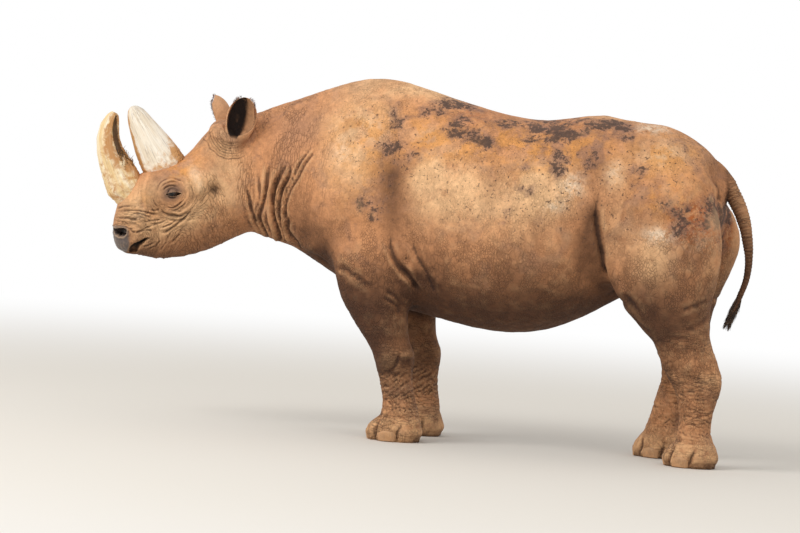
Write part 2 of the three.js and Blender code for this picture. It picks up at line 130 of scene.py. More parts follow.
def curveThrough(points, steps=7):
    points = np.asarray(points, float)
    ends = np.vstack([2 * points[0] - points[1], points, 2 * points[-1] - points[-2]])
    made = []
    for i in range(1, len(ends) - 2):
        before, here, there, after = ends[i - 1:i + 3]
        for t in np.linspace(0, 1, steps, endpoint=False):
            made.append(0.5 * (2 * here + (there - before) * t
                               + (2 * before - 5 * here + 4 * there - after) * t ** 2
                               + (3 * here - before - 3 * there + after) * t ** 3))
    made.append(points[-1])
    return np.array(made)


def lineDistance(points, line):
    # how far each point is from a line, how far along it, and on which side
    nearest = np.full(len(points), 1e9)
    along = np.zeros(len(points))
    side = np.zeros(len(points))
    for i in range(len(line) - 1):
        start, run = line[i], line[i + 1] - line[i]
        offset = points - start
        share = np.clip(offset @ run / (run @ run), 0, 1)
        gap = offset - share[:, None] * run
        distance = np.hypot(gap[:, 0], gap[:, 1])
        closer = distance < nearest
        nearest = np.where(closer, distance, nearest)
        along = np.where(closer, (i + share) / (len(line) - 1), along)
        side = np.where(closer, np.sign(run[0] * offset[:, 1] - run[1] * offset[:, 0]), side)
    return nearest, along, side


def crease(points, line, width, depth, uneven, lip=0.35, fade=(0.35, 0.25)):
    # a valley along the line with a soft lip on both sides, which runs out at the line's ends
    distance, along, _ = lineDistance(points, line)
    ends = step(0, fade[0], along) * step(0, fade[1], 1 - along)
    width = width * (1 + 0.3 * uneven)
    valley = np.exp(-(distance / width) ** 1.5)
    banks = np.exp(-((distance - 2.1 * width) / (1.2 * width)) ** 2)
    return depth * (1 + 0.45 * uneven) * ends * (lip * banks - valley)


def overlap(points, line, uneven, valley, before, behind):
    # a fold where the skin behind the line hangs over the skin in front of it
    distance, along, side = lineDistance(points, line)
    ends = step(0, 0.4, along) * step(0, 0.15, 1 - along) * (1 + 0.25 * uneven)
    cut = np.exp(-(distance / valley[0]) ** 1.5)
    slope = np.where(side < 0, np.exp(-distance / before[0]), cut)
    swell = np.where(side > 0, np.exp(-((distance - behind[0]) / (0.8 * behind[0])) ** 2), 0)
    return ends * (behind[1] * swell - valley[1] * cut - before[1] * slope)


def ridges(points, size, seed):
    # noise folded into thin creases between broad backs, from -1 in a crease to about 1
    return 2 * np.abs(noiseField(points, size, seed)) ** 0.6 - 1


def meshOf(obj):
    graph = bpy.context.evaluated_depsgraph_get()
    return bpy.data.meshes.new_from_object(obj.evaluated_get(graph))


def newObject(name, mesh):
    obj = bpy.data.objects.new(name, mesh)
    bpy.context.scene.collection.objects.link(obj)
    return obj


def fromBmesh(bm, name):
    mesh = bpy.data.meshes.new(name)
    bm.to_mesh(mesh)
    bm.free()
    return mesh


def cadCopy(node, grow=0.0):
    # a merged copy of a CAD node, its skin moved outwards so that thin cuts close
    bm = bmesh.new()
    bm.from_mesh(frame["nodes"][node].data)
    bmesh.ops.remove_doubles(bm, verts=bm.verts, dist=0.02 * mm)
    bm.normal_update()
    for vert in bm.verts:
        vert.co += vert.normal * grow
    return bm


def places(mesh):
    found = np.empty(len(mesh.vertices) * 3, np.float32)
    mesh.vertices.foreach_get("co", found)
    return found.reshape(-1, 3).astype(float)


def place(mesh, points):
    mesh.vertices.foreach_set("co", points.astype(np.float32).ravel())
    mesh.update()


def normals(mesh):
    found = np.empty(len(mesh.vertices) * 3, np.float32)
    mesh.vertices.foreach_get("normal", found)
    return found.reshape(-1, 3).astype(float)


def edgeEnds(mesh):
    found = np.empty(len(mesh.edges) * 2, np.int32)
    mesh.edges.foreach_get("vertices", found)
    return found.reshape(-1, 2)


class Neighbours:
    # averages values over each vertex's neighbours
    def __init__(self, mesh):
        ends = edgeEnds(mesh)
        self.here = np.concatenate([ends[:, 0], ends[:, 1]])
        self.there = np.concatenate([ends[:, 1], ends[:, 0]])
        self.size = len(mesh.vertices)
        self.count = np.maximum(np.bincount(self.here, minlength=self.size), 1)

    def mean(self, values):
        if values.ndim == 1:
            return np.bincount(self.here, values[self.there], self.size) / self.count
        return np.stack([self.mean(values[:, i]) for i in range(values.shape[1])], 1)

    def blur(self, values, rounds, strength=0.5):
        for _ in range(rounds):
            values = values + (self.mean(values) - values) * (
                strength if np.isscalar(strength) or values.ndim == 1 else strength[:, None])
        return values


def roundOff(mesh, rounds, strength=0.5):
    # smooths facets away, then puts back the fullness that smoothing takes from a round form
    points, ring = places(mesh), Neighbours(mesh)
    smooth = ring.blur(points, rounds, strength)
    place(mesh, smooth)
    outward = normals(mesh)
    lost = ((points - smooth) * outward).sum(1)
    lost = ring.blur(lost, 2 * rounds)
    place(mesh, smooth + outward * lost[:, None])


def largestPiece(bm):
    left, best = set(bm.verts), []
    while left:
        first = left.pop()
        group, front = [first], [first]
        while front:
            vert = front.pop()
            for edge in vert.link_edges:
                other = edge.other_vert(vert)
                if other in left:
                    left.discard(other)
                    group.append(other)
                    front.append(other)
        if len(group) > len(best):
            best = group
    keep = set(best)
    bmesh.ops.delete(bm, geom=[v for v in bm.verts if v not in keep], context="VERTS")


def refine(mesh, inside, soften=2):
    # halves the faces of a region and softens what that adds
    bm = bmesh.new()
    bm.from_mesh(mesh)
    bm.verts.index_update()
    chosen = [e for e in bm.edges if inside[e.verts[0].index] and inside[e.verts[1].index]]
    old = len(bm.verts)
    bmesh.ops.subdivide_edges(bm, edges=chosen, cuts=1, use_grid_fill=True)
    bm.to_mesh(mesh)
    bm.free()
    ring = Neighbours(mesh)
    touched = np.zeros(len(mesh.vertices))
    touched[:old] = inside
    touched[old:] = 1
    points = ring.blur(places(mesh), soften, 0.5 * touched)
    place(mesh, points)


def remeshed(mesh, size):
    obj = newObject("remesh", mesh)
    wrap = obj.modifiers.new("remesh", "REMESH")
    wrap.mode = "VOXEL"
    wrap.voxel_size = size
    made = meshOf(obj)
    bpy.data.objects.remove(obj)
    return made


def joined(base, others, operation="UNION"):
    # one closed body out of several that overlap
    obj = newObject("base", base)
    parts = []
    for i, mesh in enumerate(others):
        part = newObject("part" + str(i), mesh)
        join = obj.modifiers.new("join" + str(i), "BOOLEAN")
        join.operation = operation
        join.solver = "MANIFOLD"
        join.object = part
        parts.append(part)
    made = meshOf(obj)
    for used in [obj, *parts]:
        bpy.data.objects.remove(used)
    return made


def lofted(shape, around, along):
    # a closed form whose surface is shape(turn, run), each from 0 to 1
    bm = bmesh.new()
    bmesh.ops.create_grid(bm, x_segments=around, y_segments=along, size=0.5)
    spots = np.array([v.co[:2] for v in bm.verts]) + 0.5
    for vert, spot in zip(bm.verts, shape(spots[:, 0], spots[:, 1])):
        vert.co = spot
    bmesh.ops.remove_doubles(bm, verts=bm.verts, dist=1e-6)
    bmesh.ops.holes_fill(bm, edges=[e for e in bm.edges if e.is_boundary])
    bmesh.ops.recalc_face_normals(bm, faces=bm.faces)
    return fromBmesh(bm, "loft")


def triangles(mesh):
    return sum(len(p.vertices) - 2 for p in mesh.polygons)


def thinned(mesh, most):
    obj = newObject("thin", mesh)
    thin = obj.modifiers.new("thin", "DECIMATE")
    thin.ratio = min(1, most / triangles(mesh))
    made = meshOf(obj)
    bpy.data.objects.remove(obj)
    return made


skinSizes = {
    "grow": 0.6,  # mm, closes the cuts between the solids
    "cell": 16.5,  # mm, of the first wrap
    "coat": 0.8,  # mm, how far the skin lies inside the solids
    "rounds": 26,  # smoothing of the trunk
    "most": 194000,  # triangles that are kept
}

# the swelling in front of each ear that carries it: its middle and half sizes, in a, c and b
earMounds = {"left": ((120, 90, 162), (66, 66, 84)), "right": ((92, -82, 170), (62, 60, 72))}

fleshNodes = ["head", "neck", "trunk", "leg_front_left", "leg_front_right", "leg_hind_left", "leg_hind_right"]
legNames = ["front_left", "front_right", "hind_left", "hind_right"]
hornNames = ["horn_front", "horn_rear"]

# where the horns leave the head: a point in a and b, and the way that is up there
hornBase = {"horn_front": ((590, 140), (0.4, 0.916)), "horn_rear": ((400, 158), (-0.1, 0.995))}


def cutBelow(bm, point, up):
    everything = bm.verts[:] + bm.edges[:] + bm.faces[:]
    cut = bmesh.ops.bisect_plane(bm, geom=everything, plane_co=point, plane_no=up, clear_outer=True)
    rim = [item for item in cut["geom_cut"] if isinstance(item, bmesh.types.BMEdge)]
    bmesh.ops.contextual_create(bm, geom=rim)


def hornRoot(node):
    # the buried end of a horn, so that the skin closes over its socket
    (a, b), (alongUp, up) = hornBase[node]
    bm = cadCopy(node, skinSizes["grow"] * mm)
    cutBelow(bm, Vector(fromHead([a, 0, b])), Vector(headAxes @ np.array([alongUp, 0, up])))
    return bm


def tailRoot():
    bm = cadCopy("tail", skinSizes["grow"] * mm)
    _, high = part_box("tail")
    cutBelow(bm, Vector((0, 0, high.z - 0.14)), Vector((0, 0, -1)))
    return bm


def earMound(side):
    middle, half = earMounds[side]
    bm = bmesh.new()
    bmesh.ops.create_icosphere(bm, subdivisions=3, radius=1)
    for vert in bm.verts:
        vert.co = fromHead(np.array(vert.co) * half + middle)
    return bm


def wrapBody():
    whole = bmesh.new()
    pieces = [cadCopy(node, skinSizes["grow"] * mm) for node in fleshNodes]
    pieces += [hornRoot(node) for node in hornNames] + [tailRoot()]
    for side in ("left", "right"):
        pieces += [cadCopy("eye_" + side, -3 * mm), earMound(side)]
    for bm in pieces:
        mesh = fromBmesh(bm, "piece")
        whole.from_mesh(mesh)
        bpy.data.meshes.remove(mesh)
    made = remeshed(fromBmesh(whole, "wrap"), skinSizes["cell"] * mm)
    bm = bmesh.new()
    bm.from_mesh(made)
    largestPiece(bm)
    return fromBmesh(bm, "skin")


skin = wrapBody()
print("wrapped the body:", len(skin.vertices), "vertices")

# how strongly each part of the body is smoothed: the trunk most, the thin parts least
points = places(skin)
inHead = toHead(points)
legness = 1 - step(0.45, 0.80, points[:, 2])
headness = step(-120, 120, inHead[:, 0])
firmness = np.clip(1 - 0.82 * legness - 0.72 * headness, 0.12, 1)
for middle, half in earMounds.values():
    firmness = np.maximum(firmness, 0.5 * step(1.9, 1.2, np.linalg.norm((inHead - middle) / half, axis=1)))
roundOff(skin, skinSizes["rounds"], 0.5 * firmness)
print("smoothed the body")


# Finer faces where the folds are: the neck, head, legs, elbow and flank fold twice as fine as the
# trunk, the face and the roots of the ears four times, and the eyes eight times as fine.

def refineSkin(mesh):
    points = places(mesh)
    inHead = toHead(points)
    x, z = points[:, 0] / mm, points[:, 2] / mm
    neck = (x < -330) & (z > 700)
    legs = z < 470
    elbow = (np.hypot(x + 20, z - 760) < 190) & (np.abs(points[:, 1]) > 0.17)
    flank = (np.hypot(x - 860, z - 900) < 260) & (np.abs(x - 850) < 110) & (np.abs(points[:, 1]) > 0.17)
    refine(mesh, neck | (inHead[:, 0] > -60) | legs | elbow | flank)
    inHead = toHead(places(mesh))
    earRoot = np.hypot(inHead[:, 0] - 85, inHead[:, 2] - 165) < 120
    refine(mesh, (inHead[:, 0] > 215) | earRoot)
    inHead = toHead(places(mesh))
    refine(mesh, np.hypot(inHead[:, 0] - eyeA, inHead[:, 2] - eyeB) < 52, 1)


refineSkin(skin)
print("refined:", triangles(skin), "triangles")


earSizes = {
    "root": {"left": (94, 112, 92), "right": (68, -108, 96)},  # on the head, in a, c and b
    "axis": {"left": (-0.59, 0.19, 0.79), "right": (-0.12, -0.14, 0.98)},
    "facing": {"left": (0.65, 0.66, 0.38), "right": (0.95, -0.28, 0.2)},
    "turn": {"left": 38, "right": 0},  # degrees that the cup then turns out to the side
    # height along the axis, half the depth and half the width, from the buried root to the tip
    "rows": [(-78, 16, 16), (-30, 29, 29), (20, 31, 33), (46, 33, 38), (64, 39, 46), (88, 47, 57),
             (125, 54, 67), (165, 52, 68), (205, 42, 56), (232, 26, 36), (246, 9, 13)],
    "wall": 7,  # mm
    "mouth": 62,  # degrees from the facing to each rim
    "tipMouth": 100,  # the same at the tip
    "notch": (58, 120),  # the outer rim runs to the inner one between these heights
    "cell": 2.4,  # mm, of the wrap that rounds the rims
    "rounds": 7,
    "share": 0.16,  # of the wrap's faces that are kept
}


def earAxes(side):
    # columns: the way the cup opens, outwards, and along the ear to its tip
    up, front = (np.array(earSizes[key][side], float) for key in ("axis", "facing"))
    up /= np.linalg.norm(up)
    front -= up * (front @ up)
    front /= np.linalg.norm(front)
    across = np.cross(up, front)
    turn = math.radians(earSizes["turn"][side])
    opening = front * math.cos(turn) + across * math.sin(turn)
    outwards = (across * math.cos(turn) - front * math.sin(turn)) * (1 if side == "left" else -1)
    return np.stack([opening, outwards, up], 1)


def toEar(side, inHead):
    return (inHead - earSizes["root"][side]) @ earAxes(side)


def fromEar(side, points):
    return fromHead(points @ earAxes(side).T + earSizes["root"][side])


def earHalves(height):
    rows = curveThrough(earSizes["rows"])
    return np.interp(height, rows[:, 0], rows[:, 1]), np.interp(height, rows[:, 0], rows[:, 2])


def earRims(height):
    # where the two rims are at a height, in degrees round the axis
    low, high = earSizes["notch"]
    mouth = earSizes["mouth"] + (earSizes["tipMouth"] - earSizes["mouth"]) * step(205, 246, height)
    return -mouth, -mouth + 14 + (2 * mouth - 14) * np.clip((height - low) / (high - low), 0, 1) ** 0.7


def earForm(side, angle, height, share):
    depth, width = earHalves(height)
    return fromEar(side, np.stack([share * depth * np.cos(angle), share * width * np.sin(angle), height], 1))


def earMesh(side):
    rows, wall = earSizes["rows"], earSizes["wall"]
    floor, tip = earSizes["notch"][0] + 2, rows[-1][0]

    def leaf(turn, run):
        return earForm(side, turn * 2 * math.pi, rows[0][0] + (tip - rows[0][0]) * run, 1.0)

    def hollow(turn, run):
        height = floor + (tip + 20 - floor) * run
        angle = (turn * 360 + 180) % 360 - 180
        inner, outer = earRims(height)
        mouth = step(inner - 5, inner + 5, angle) * step(outer + 5, outer - 5, angle)
        depth, _ = earHalves(height)
        share = np.clip(1 - wall / depth, 0.05, 1) * np.clip((height - floor) / 36, 0.02, 1) ** 0.5
        return earForm(side, turn * 2 * math.pi, height, share + (1.7 - share) * mouth)

    made = joined(lofted(leaf, 48, 40), [lofted(hollow, 72, 40)], "DIFFERENCE")
    made = remeshed(made, earSizes["cell"] * mm)
    roundOff(made, earSizes["rounds"], 0.5)
    made = thinned(made, earSizes["share"] * triangles(made))
    place(made, Neighbours(made).blur(places(made), 2, 0.4))
    return made


tailSizes = {
    "sides": 18,
    "rings": 150,
    # centre line: x, z and half the thickness, from inside the croup to the tip
    "line": [(1222, 1304, 36), (1284, 1270, 41), (1325, 1200, 40), (1368, 1130, 36), (1403, 1048, 30),
             (1421, 967, 24), (1429, 902, 20), (1425, 820, 17), (1400, 735, 15), (1373, 658, 10),
             (1361, 622, 5)],
    "wrinkle": 3.4,  # mm, where the tail is thickest
    "wrinkleGap": 15,  # mm between the ring folds
}


def tailAt(share):
    rows = np.array(tailSizes["line"], float)
    whole = curveThrough(rows, 12)
    spot = np.clip(share, 0, 1) * (len(whole) - 1)
    low = np.minimum(spot.astype(int), len(whole) - 2)
    part = (spot - low)[..., None]
    return whole[low] * (1 - part) + whole[low + 1] * part


def tailMesh():
    shares = np.linspace(0, 1, 400)
    middle = tailAt(shares)
    length = np.concatenate([[0], np.cumsum(np.hypot(*np.diff(middle[:, :2], axis=0).T))])

    def form(turn, run):
        rows = tailAt(run)
        ahead = tailAt(run + 0.01) - tailAt(run - 0.01)
        ahead = ahead[:, :2] / np.linalg.norm(ahead[:, :2], axis=1)[:, None]
        wave = np.cos(2 * math.pi * np.interp(run, shares, length) / tailSizes["wrinkleGap"])
        half = rows[:, 2] - tailSizes["wrinkle"] * rows[:, 2] / 40 * (0.5 + 0.5 * wave) ** 2
        flat = half * np.cos(turn * 2 * math.pi)
        return np.stack([rows[:, 0] - ahead[:, 1] * flat, half * np.sin(turn * 2 * math.pi),
                         rows[:, 1] + ahead[:, 0] * flat], 1) * mm

    return lofted(form, tailSizes["sides"], tailSizes["rings"])


earMeshes = {side: earMesh(side) for side in ("left", "right")}
tail = tailMesh()
print("ears and tail:", [triangles(m) for m in (*earMeshes.values(), tail)])
skin = joined(skin, [*earMeshes.values(), tail])
print("joined:", triangles(skin), "triangles")


# Each fold is a line in x and z, its width and its depth. Both sides of the body have them.

neckFolds = [
    ([(-600, 1195), (-635, 1120), (-650, 1035), (-650, 955), (-640, 870), (-630, 825)], 8.5, 24),
    ([(-590, 1195), (-590, 1125), (-610, 1055), (-620, 980), (-620, 900), (-605, 820)], 6.5, 15),
    ([(-490, 1280), (-535, 1195), (-565, 1125), (-590, 1050), (-605, 975)], 5, 9),
    ([(-470, 1260), (-515, 1190), (-555, 1100), (-585, 1010), (-595, 930)], 5.5, 10),
    ([(-580, 940), (-590, 900), (-585, 865), (-530, 805)], 8, 12),
    ([(-685, 1200), (-680, 1110), (-700, 1020), (-720, 940), (-710, 870), (-695, 835)], 7.5, 17),
    ([(-730, 1135), (-720, 1030), (-740, 940), (-735, 900)], 5.5, 8),
    ([(-770, 1070), (-760, 990), (-755, 950)], 5.5, 7),
    ([(-765, 1000), (-745, 920), (-725, 850)], 6, 9),
    ([(-660, 1090), (-670, 1010), (-670, 940)], 5, 4),
]

bodyFolds = [
    ([(-590, 840), (-545, 800), (-460, 775), (-370, 730)], 10, 8),  # breast
    ([(-350, 740), (-290, 735), (-210, 695), (-160, 660)], 11, 7),  # top of the foreleg
    ([(-110, 990), (-90, 870), (-50, 775), (10, 695), (35, 650)], 14, 26, 0.85),  # behind the shoulder
    ([(-30, 1040), (-20, 950), (25, 835), (90, 705), (115, 640)], 14, 10, 0.8),
    ([(-100, 655), (-60, 635), (-10, 580)], 7, 4),  # elbow
    ([(-105, 625), (-65, 605), (-30, 585)], 7, 4),
    ([(940, 735), (975, 695), (1040, 630)], 9, 6),  # front of the stifle
    ([(960, 650), (1010, 600), (1075, 555)], 9, 5),
    ([(1175, 665), (1220, 690), (1315, 735)], 7, 4),  # behind the knee
    ([(1190, 580), (1265, 610), (1320, 660)], 9, 3),
    ([(1150, 560), (1180, 550), (1220, 560)], 9, 3),
    ([(-30, 425), (-25, 385), (-30, 345), (-50, 315), (-75, 305), (-105, 320)], 5, 3),  # round the knee cap
    ([(1230, 1345), (1270, 1240), (1310, 1130)], 9, 12, 0.5),  # beside the tail
]

flankFold = {
    "line": [(800, 1170), (800, 1090), (820, 970), (840, 865), (880, 740), (950, 660)],
    "valley": (9, 14),  # width and depth
    "before": (105, 20),  # reach and depth of the hollow in front
    "behind": (32, 14),  # distance and height of the haunch's front edge
}

bodyForms = [
    # centre x, y, z, reach and height of a swelling
    ((-470, 170, 815), (60, 80, 34), 13),  # point of the breast
    ((-110, 330, 810), (50, 90, 90), 9),  # elbow muscle
    ((8, 330, 760), (34, 90, 70), 9),  # fold of skin behind the elbow
    ((-660, 190, 985), (24, 80, 150), 7),  # the thick fold of the neck
    ((-640, 110, 850), (60, 70, 40), 9),  # where it hangs at the throat
    ((-42, 280, 575), (16, 60, 26), -8),  # pit behind the elbow
    ((-16, 270, 590), (13, 60, 30), 8),  # flap of skin there
    ((-80, 290, 352), (36, 60, 44), 10),  # knee cap
    ((4, 260, 383), (24, 70, 26), 9),  # back of the knee
    ((-62, 290, 290), (44, 60, 16), -5),
    ((-250, 300, 1180), (80, 140, 220), 12),  # front edge of the shoulder blade
    ((-330, 300, 1330), (50, 140, 90), -5),
    ((-60, 320, 1160), (85, 140, 240), -9),  # hollow behind it
    ((-190, 320, 930), (90, 120, 90), 6),
    ((1010, 330, 1330), (130, 120, 80), 9),  # rump
    ((800, 320, 1290), (60, 120, 70), -10),  # hollow in front of the hip
    ((1236, 270, 430), (26, 70, 34), 9),  # point of the hock
    ((1178, 290, 400), (26, 60, 60), -8),  # hollow in front of its cord
    ((1110, 300, 360), (34, 70, 60), 5),
]


def foldBody(mesh):
    points, outward = places(mesh), normals(mesh)
    warp = np.stack([noiseField(points, 0.07, seed) for seed in (3, 4)], 1) * 8
    plane = points[:, [0, 2]] / mm + warp
    uneven = noiseField(points, 0.05, 5)
    sideways = step(0.03, 0.13, np.abs(points[:, 1] + 0.045 * step(-0.42, -0.78, points[:, 0])))
    height = np.zeros(len(points))

    behindHead = 1 - step(-30, 60, toHead(points)[:, 0])
    neck = (points[:, 0] < -0.33) & (points[:, 2] > 0.72)
    for line, width, depth in neckFolds:
        fold = crease(plane[neck], curveThrough(line), 1.15 * width, depth, 0.6 * uneven[neck], 0.5,
                      (0.35, 0.04))
        height[neck] += fold * (0.45 + 0.55 * sideways[neck])
    outer = sideways * np.maximum(step(0.17, 0.23, np.abs(points[:, 1])), step(0.58, 0.68, points[:, 2]))
    for line, width, depth, *fade in bodyFolds:
        fade = (fade[0] if fade else 0.35, 0.2)
        height += crease(plane, curveThrough(line), width, depth, uneven, fade=fade) * outer
    height += sideways * overlap(plane, curveThrough(flankFold["line"]), uneven, flankFold["valley"],
                                 flankFold["before"], flankFold["behind"])

    for middle, reach, amount in bodyForms:
        height += amount * bell(mirrored(points / mm), middle, reach)

    # slack skin: shallow waves down the ribs, upright creases on the neck, wavy ones low on the flank
    trunk = step(-0.35, 0.0, points[:, 0]) * step(0.5, 0.62, points[:, 2])
    trunk *= 1 - step(1.3, 1.5, points[:, 2])
    height += 2.6 * trunk * noiseField(points * [1, 1, 0.35], 0.085, 11)
    height += 1.1 * noiseField(points, 0.034, 12) * (1 - 0.7 * step(-60, 60, toHead(points)[:, 0]))
    upper = step(-0.36, -0.52, points[:, 0]) * behindHead
    height += 1.1 * upper * ridges(points * [1, 0.5, 0.16], 0.020, 13)
    low = trunk * step(0.95, 0.75, points[:, 2]) * np.exp(-((points[:, 0] - 0.35) / 0.45) ** 2)
    height += 0.35 * low * ridges(points * [0.24, 0.6, 1], 0.019, 14)
    place(mesh, points + outward * height[:, None] * mm)


legFolds = {
    # for fore and hind legs: lowest and highest z, spacing, depth and slant of each band of folds
    "front": [(120, 300, 15, 3.4, 0.45), (180, 320, 24, 5, 0.75), (440, 590, 19, 1.6, 0.5)],
    "hind": [(110, 280, 14, 3, -0.1), (270, 430, 15, 3, 0.05), (430, 560, 20, 1.8, 0.5)],
}

footSizes = {
    # degrees from the front at which the toes part
    "clefts": {"front": (54, 116), "hind": (42, 106)},
    "width": 5.5,  # degrees
    "depth": 15,
    "toeSwell": 10,
    "top": 104,  # z at which the toes end
    "sole": 6,  # what is lower than this is pressed flat
    "round": 7,  # how far the sole's edge draws in
}

soles = {mount["name"][5:]: np.array(mount["pos_m"]) for mount in frame["record"]["mounts"]}


def foldLegs(mesh):
    points, outward = places(mesh), normals(mesh)
    x, y, z = points.T / mm
    height = np.zeros(len(points))
    push = np.zeros_like(points)
    for name, sole in soles.items():
        kind = name.split("_")[0]
        front = (x < 500) if kind == "front" else (x > 500)
        left = (y < 0) if name.endswith("left") else (y > 0)
        mine = front & left & (z < 620)
        here = points[mine] / mm
        offset = here - sole / mm
        waver = noiseField(here, 52, 21) * 13 + noiseField(here, 22, 22) * 5
        fold = np.zeros(mine.sum())
        for low, high, gap, depth, slant in legFolds[kind]:
            phase = (here[:, 2] - slant * offset[:, 0] + waver) / gap
            within = step(low - 15, low + 25, here[:, 2]) * (1 - step(high - 34, high + 16, here[:, 2]))
            some = 0.25 + 0.75 * step(-0.4, 0.4, noiseField(here * [1, 1, 2.2], 40, 23 + gap))
            fold -= within * some * depth * (0.5 + 0.5 * np.cos(2 * np.pi * phase)) ** 3
        grain = step(80, 120, here[:, 2]) * (1 - step(540, 615, here[:, 2]))
        height[mine] += fold + 0.6 * ridges(here * [0.5, 0.5, 1], 15, 26) * grain

        radius = np.hypot(offset[:, 0], offset[:, 1]) + 1e-6
        angle = np.degrees(np.abs(np.arctan2(offset[:, 1], -offset[:, 0])))
        angle += 7 * noiseField(here, 44, 24) + (40 - here[:, 2]) * 0.12
        first, second = footSizes["clefts"][kind]
        low = 1 - step(0.3 * footSizes["top"], 1.08 * footSizes["top"], here[:, 2])
        rim = step(55, 80, radius)
        clefts = (np.exp(-(np.abs(angle - first) / footSizes["width"]) ** 1.5)
                  + 0.8 * np.exp(-(np.abs(angle - second) / footSizes["width"]) ** 1.5))
        swell = sum(np.exp(-((angle - centre) / reach) ** 2)
                    for centre, reach in ((0, first * 0.6), ((first + second) / 2, 24), (180, 42)))
        band = np.exp(-((here[:, 2] - 46) / 34) ** 2)
        edge = footSizes["round"] * np.exp(-here[:, 2] / 9)
        toes = footSizes["depth"] * clefts - footSizes["toeSwell"] * swell * band
        inwards = low * rim * toes + edge * rim
        above = np.exp(-((here[:, 2] - footSizes["top"] - 8) / 12) ** 2) * 4
        push[mine, :2] -= offset[:, :2] / radius[:, None] * (inwards + above)[:, None]
    points += (outward * height[:, None] + push) * mm
    place(mesh, points)


# The folds of the head are lines in a and b, each with its width and its depth.

headFolds = [
    # over the muzzle
    ([(675, 84), (650, 88), (605, 78)], 4, 4),
    ([(685, 75), (635, 65), (585, 42), (545, 8), (520, -6)], 4.6, 6),
    ([(560, 35), (520, 12), (500, 12)], 3.6, 3.4),
    ([(692, 60), (645, 32), (605, 5)], 4.4, 5.5),
    ([(695, 48), (672, 30), (650, 5)], 4, 4.5),
    ([(630, 43), (605, 39), (575, 28)], 3.6, 3),
    ([(672, -25), (655, -20), (640, -36), (575, -40), (532, -48)], 4.4, 4.5),
    ([(655, -52), (630, -42), (595, -48), (565, -62)], 4, 4),
    ([(560, -84), (505, -96), (440, -82), (400, -64), (365, -40)], 5.5, 8),
    # cheek and lower lip
    ([(535, -138), (508, -112), (478, -105), (445, -98)], 4.4, 4),
    ([(600, -145), (575, -126), (555, -118)], 3.8, 4),
    ([(580, -163), (555, -151), (532, -137)], 3.8, 4),
    ([(540, -161), (490, -138), (465, -132)], 4.2, 4),
    ([(650, -101), (622, -112), (580, -112)], 3.6, 4),
    ([(622, -132), (604, -130), (584, -134)], 3.4, 3.5),
    # round the eye
    ([(502, 8), (484, -26), (430, -62), (385, -46)], 5.5, 8),
    ([(498, -30), (472, -62), (436, -78), (404, -72)], 4, 3.5),
    ([(474, 10), (460, -5), (430, -10), (394, 2)], 4, 6),
    ([(480, 24), (468, -8), (436, -26), (402, -20), (374, -4)], 3.4, 3),
    ([(493, 73), (464, 105), (428, 117), (390, 108), (348, 56)], 4.4, 3.4),
    ([(468, 88), (440, 101), (404, 97), (378, 78)], 3.4, 3),
    ([(462, 76), (436, 86), (410, 80), (392, 62)], 3, 4.5),
    ([(506, 78), (512, 40), (506, 12)], 3.8, 2.4),
    # fine ones between those of the muzzle
    ([(700, 34), (682, 26), (668, 14), (646, -8)], 3.4, 3.4),
    ([(690, 12), (672, 4), (654, -14), (628, -24)], 3.4, 3.2),
    ([(636, 58), (610, 46), (588, 30), (566, 8), (548, -8)], 3.3, 3.4),
    ([(604, -6), (572, -16), (540, -26), (508, -34)], 3.4, 3.2),
    ([(592, -24), (560, -36), (524, -46), (490, -44)], 3.3, 3.2),
    ([(548, -66), (516, -72), (484, -74), (452, -70)], 3.4, 3.2),
]

# the mouth is a little open towards the front
mouth = {"outline": [(706, -116), (700, -96), (688, -83), (668, -77), (648, -78), (618, -79), (588, -87),
                     (606, -91), (630, -96), (650, -101), (660, -110), (672, -124)],
         "depth": 30, "inwards": (-0.2, -0.95, 0.1), "rim": 1.0}

earWrinkles = {"middle": (70, 178), "radii": (54, 65, 76, 87, 98, 109, 120), "from": -120, "to": 52,
               "width": 3.8, "depth": 3.8}

headForms = [
    # centre a, c, b, reach and height
    ((296, 150, 46), (28, 70, 58), 21),  # cheekbone
    ((316, 160, 6), (22, 70, 26), 9),
    ((254, 150, -16), (26, 70, 34), -24),  # hollow behind it
    ((212, 140, 20), (26, 80, 70), 5),
    ((420, 130, 104), (52, 60, 16), 5),  # brow
    ((712, 46, -50), (26, 40, 34), 6),  # upper lip
    ((664, 74, -66), (36, 50, 12), 6),
    ((640, 80, -112), (34, 50, 18), 5),  # lower lip
    ((672, 84, 30), (30, 40, 16), 4),  # wing of the nostril
    ((520, 100, 10), (60, 60, 40), -4),
]

nostril = {"outline": [(719, 20), (702, 11), (681, 0), (673, -10), (680, -24), (696, -30), (712, -24),
                       (720, -6)],
           "depth": 46, "inwards": (-0.45, -0.87, -0.1), "rim": 3.5}

eyeSlit = {
    "rear": (386, 30), "front": (457, 60),  # corners, in a and b
    "opening": 0.88,  # share of the slit between the corners that is open
    "above": 6.5, "below": 9.0,  # half heights of the opening
    "lid": 3.6,  # thickness over the eyeball
    "pocket": 5,  # gap between the eyeball and the skin behind it
    "reach": 62,  # how far the lids' mound spreads
}
eyeRadius = 26


def arcs(middle, radius, start, end, count=9):
    turns = np.radians(np.linspace(start, end, count))
    return np.stack([middle[0] + radius * np.cos(turns), middle[1] + radius * np.sin(turns)], 1)


def eyeFrame():
    rear, front = np.array(eyeSlit["rear"], float), np.array(eyeSlit["front"], float)
    along = (front - rear) / np.linalg.norm(front - rear)
    return (rear + front) / 2, along, np.array([-along[1], along[0]]), np.linalg.norm(front - rear) / 2


def slitPlace(flat):
    # along and across the eye's slit, and the half height of the opening there
    middle, along, across, half = eyeFrame()
    run, rise = (flat - middle) @ along, (flat - middle) @ across
    bow = np.clip(1 - (run / (half * eyeSlit["opening"])) ** 2, 0, 1)
    return run, rise, bow


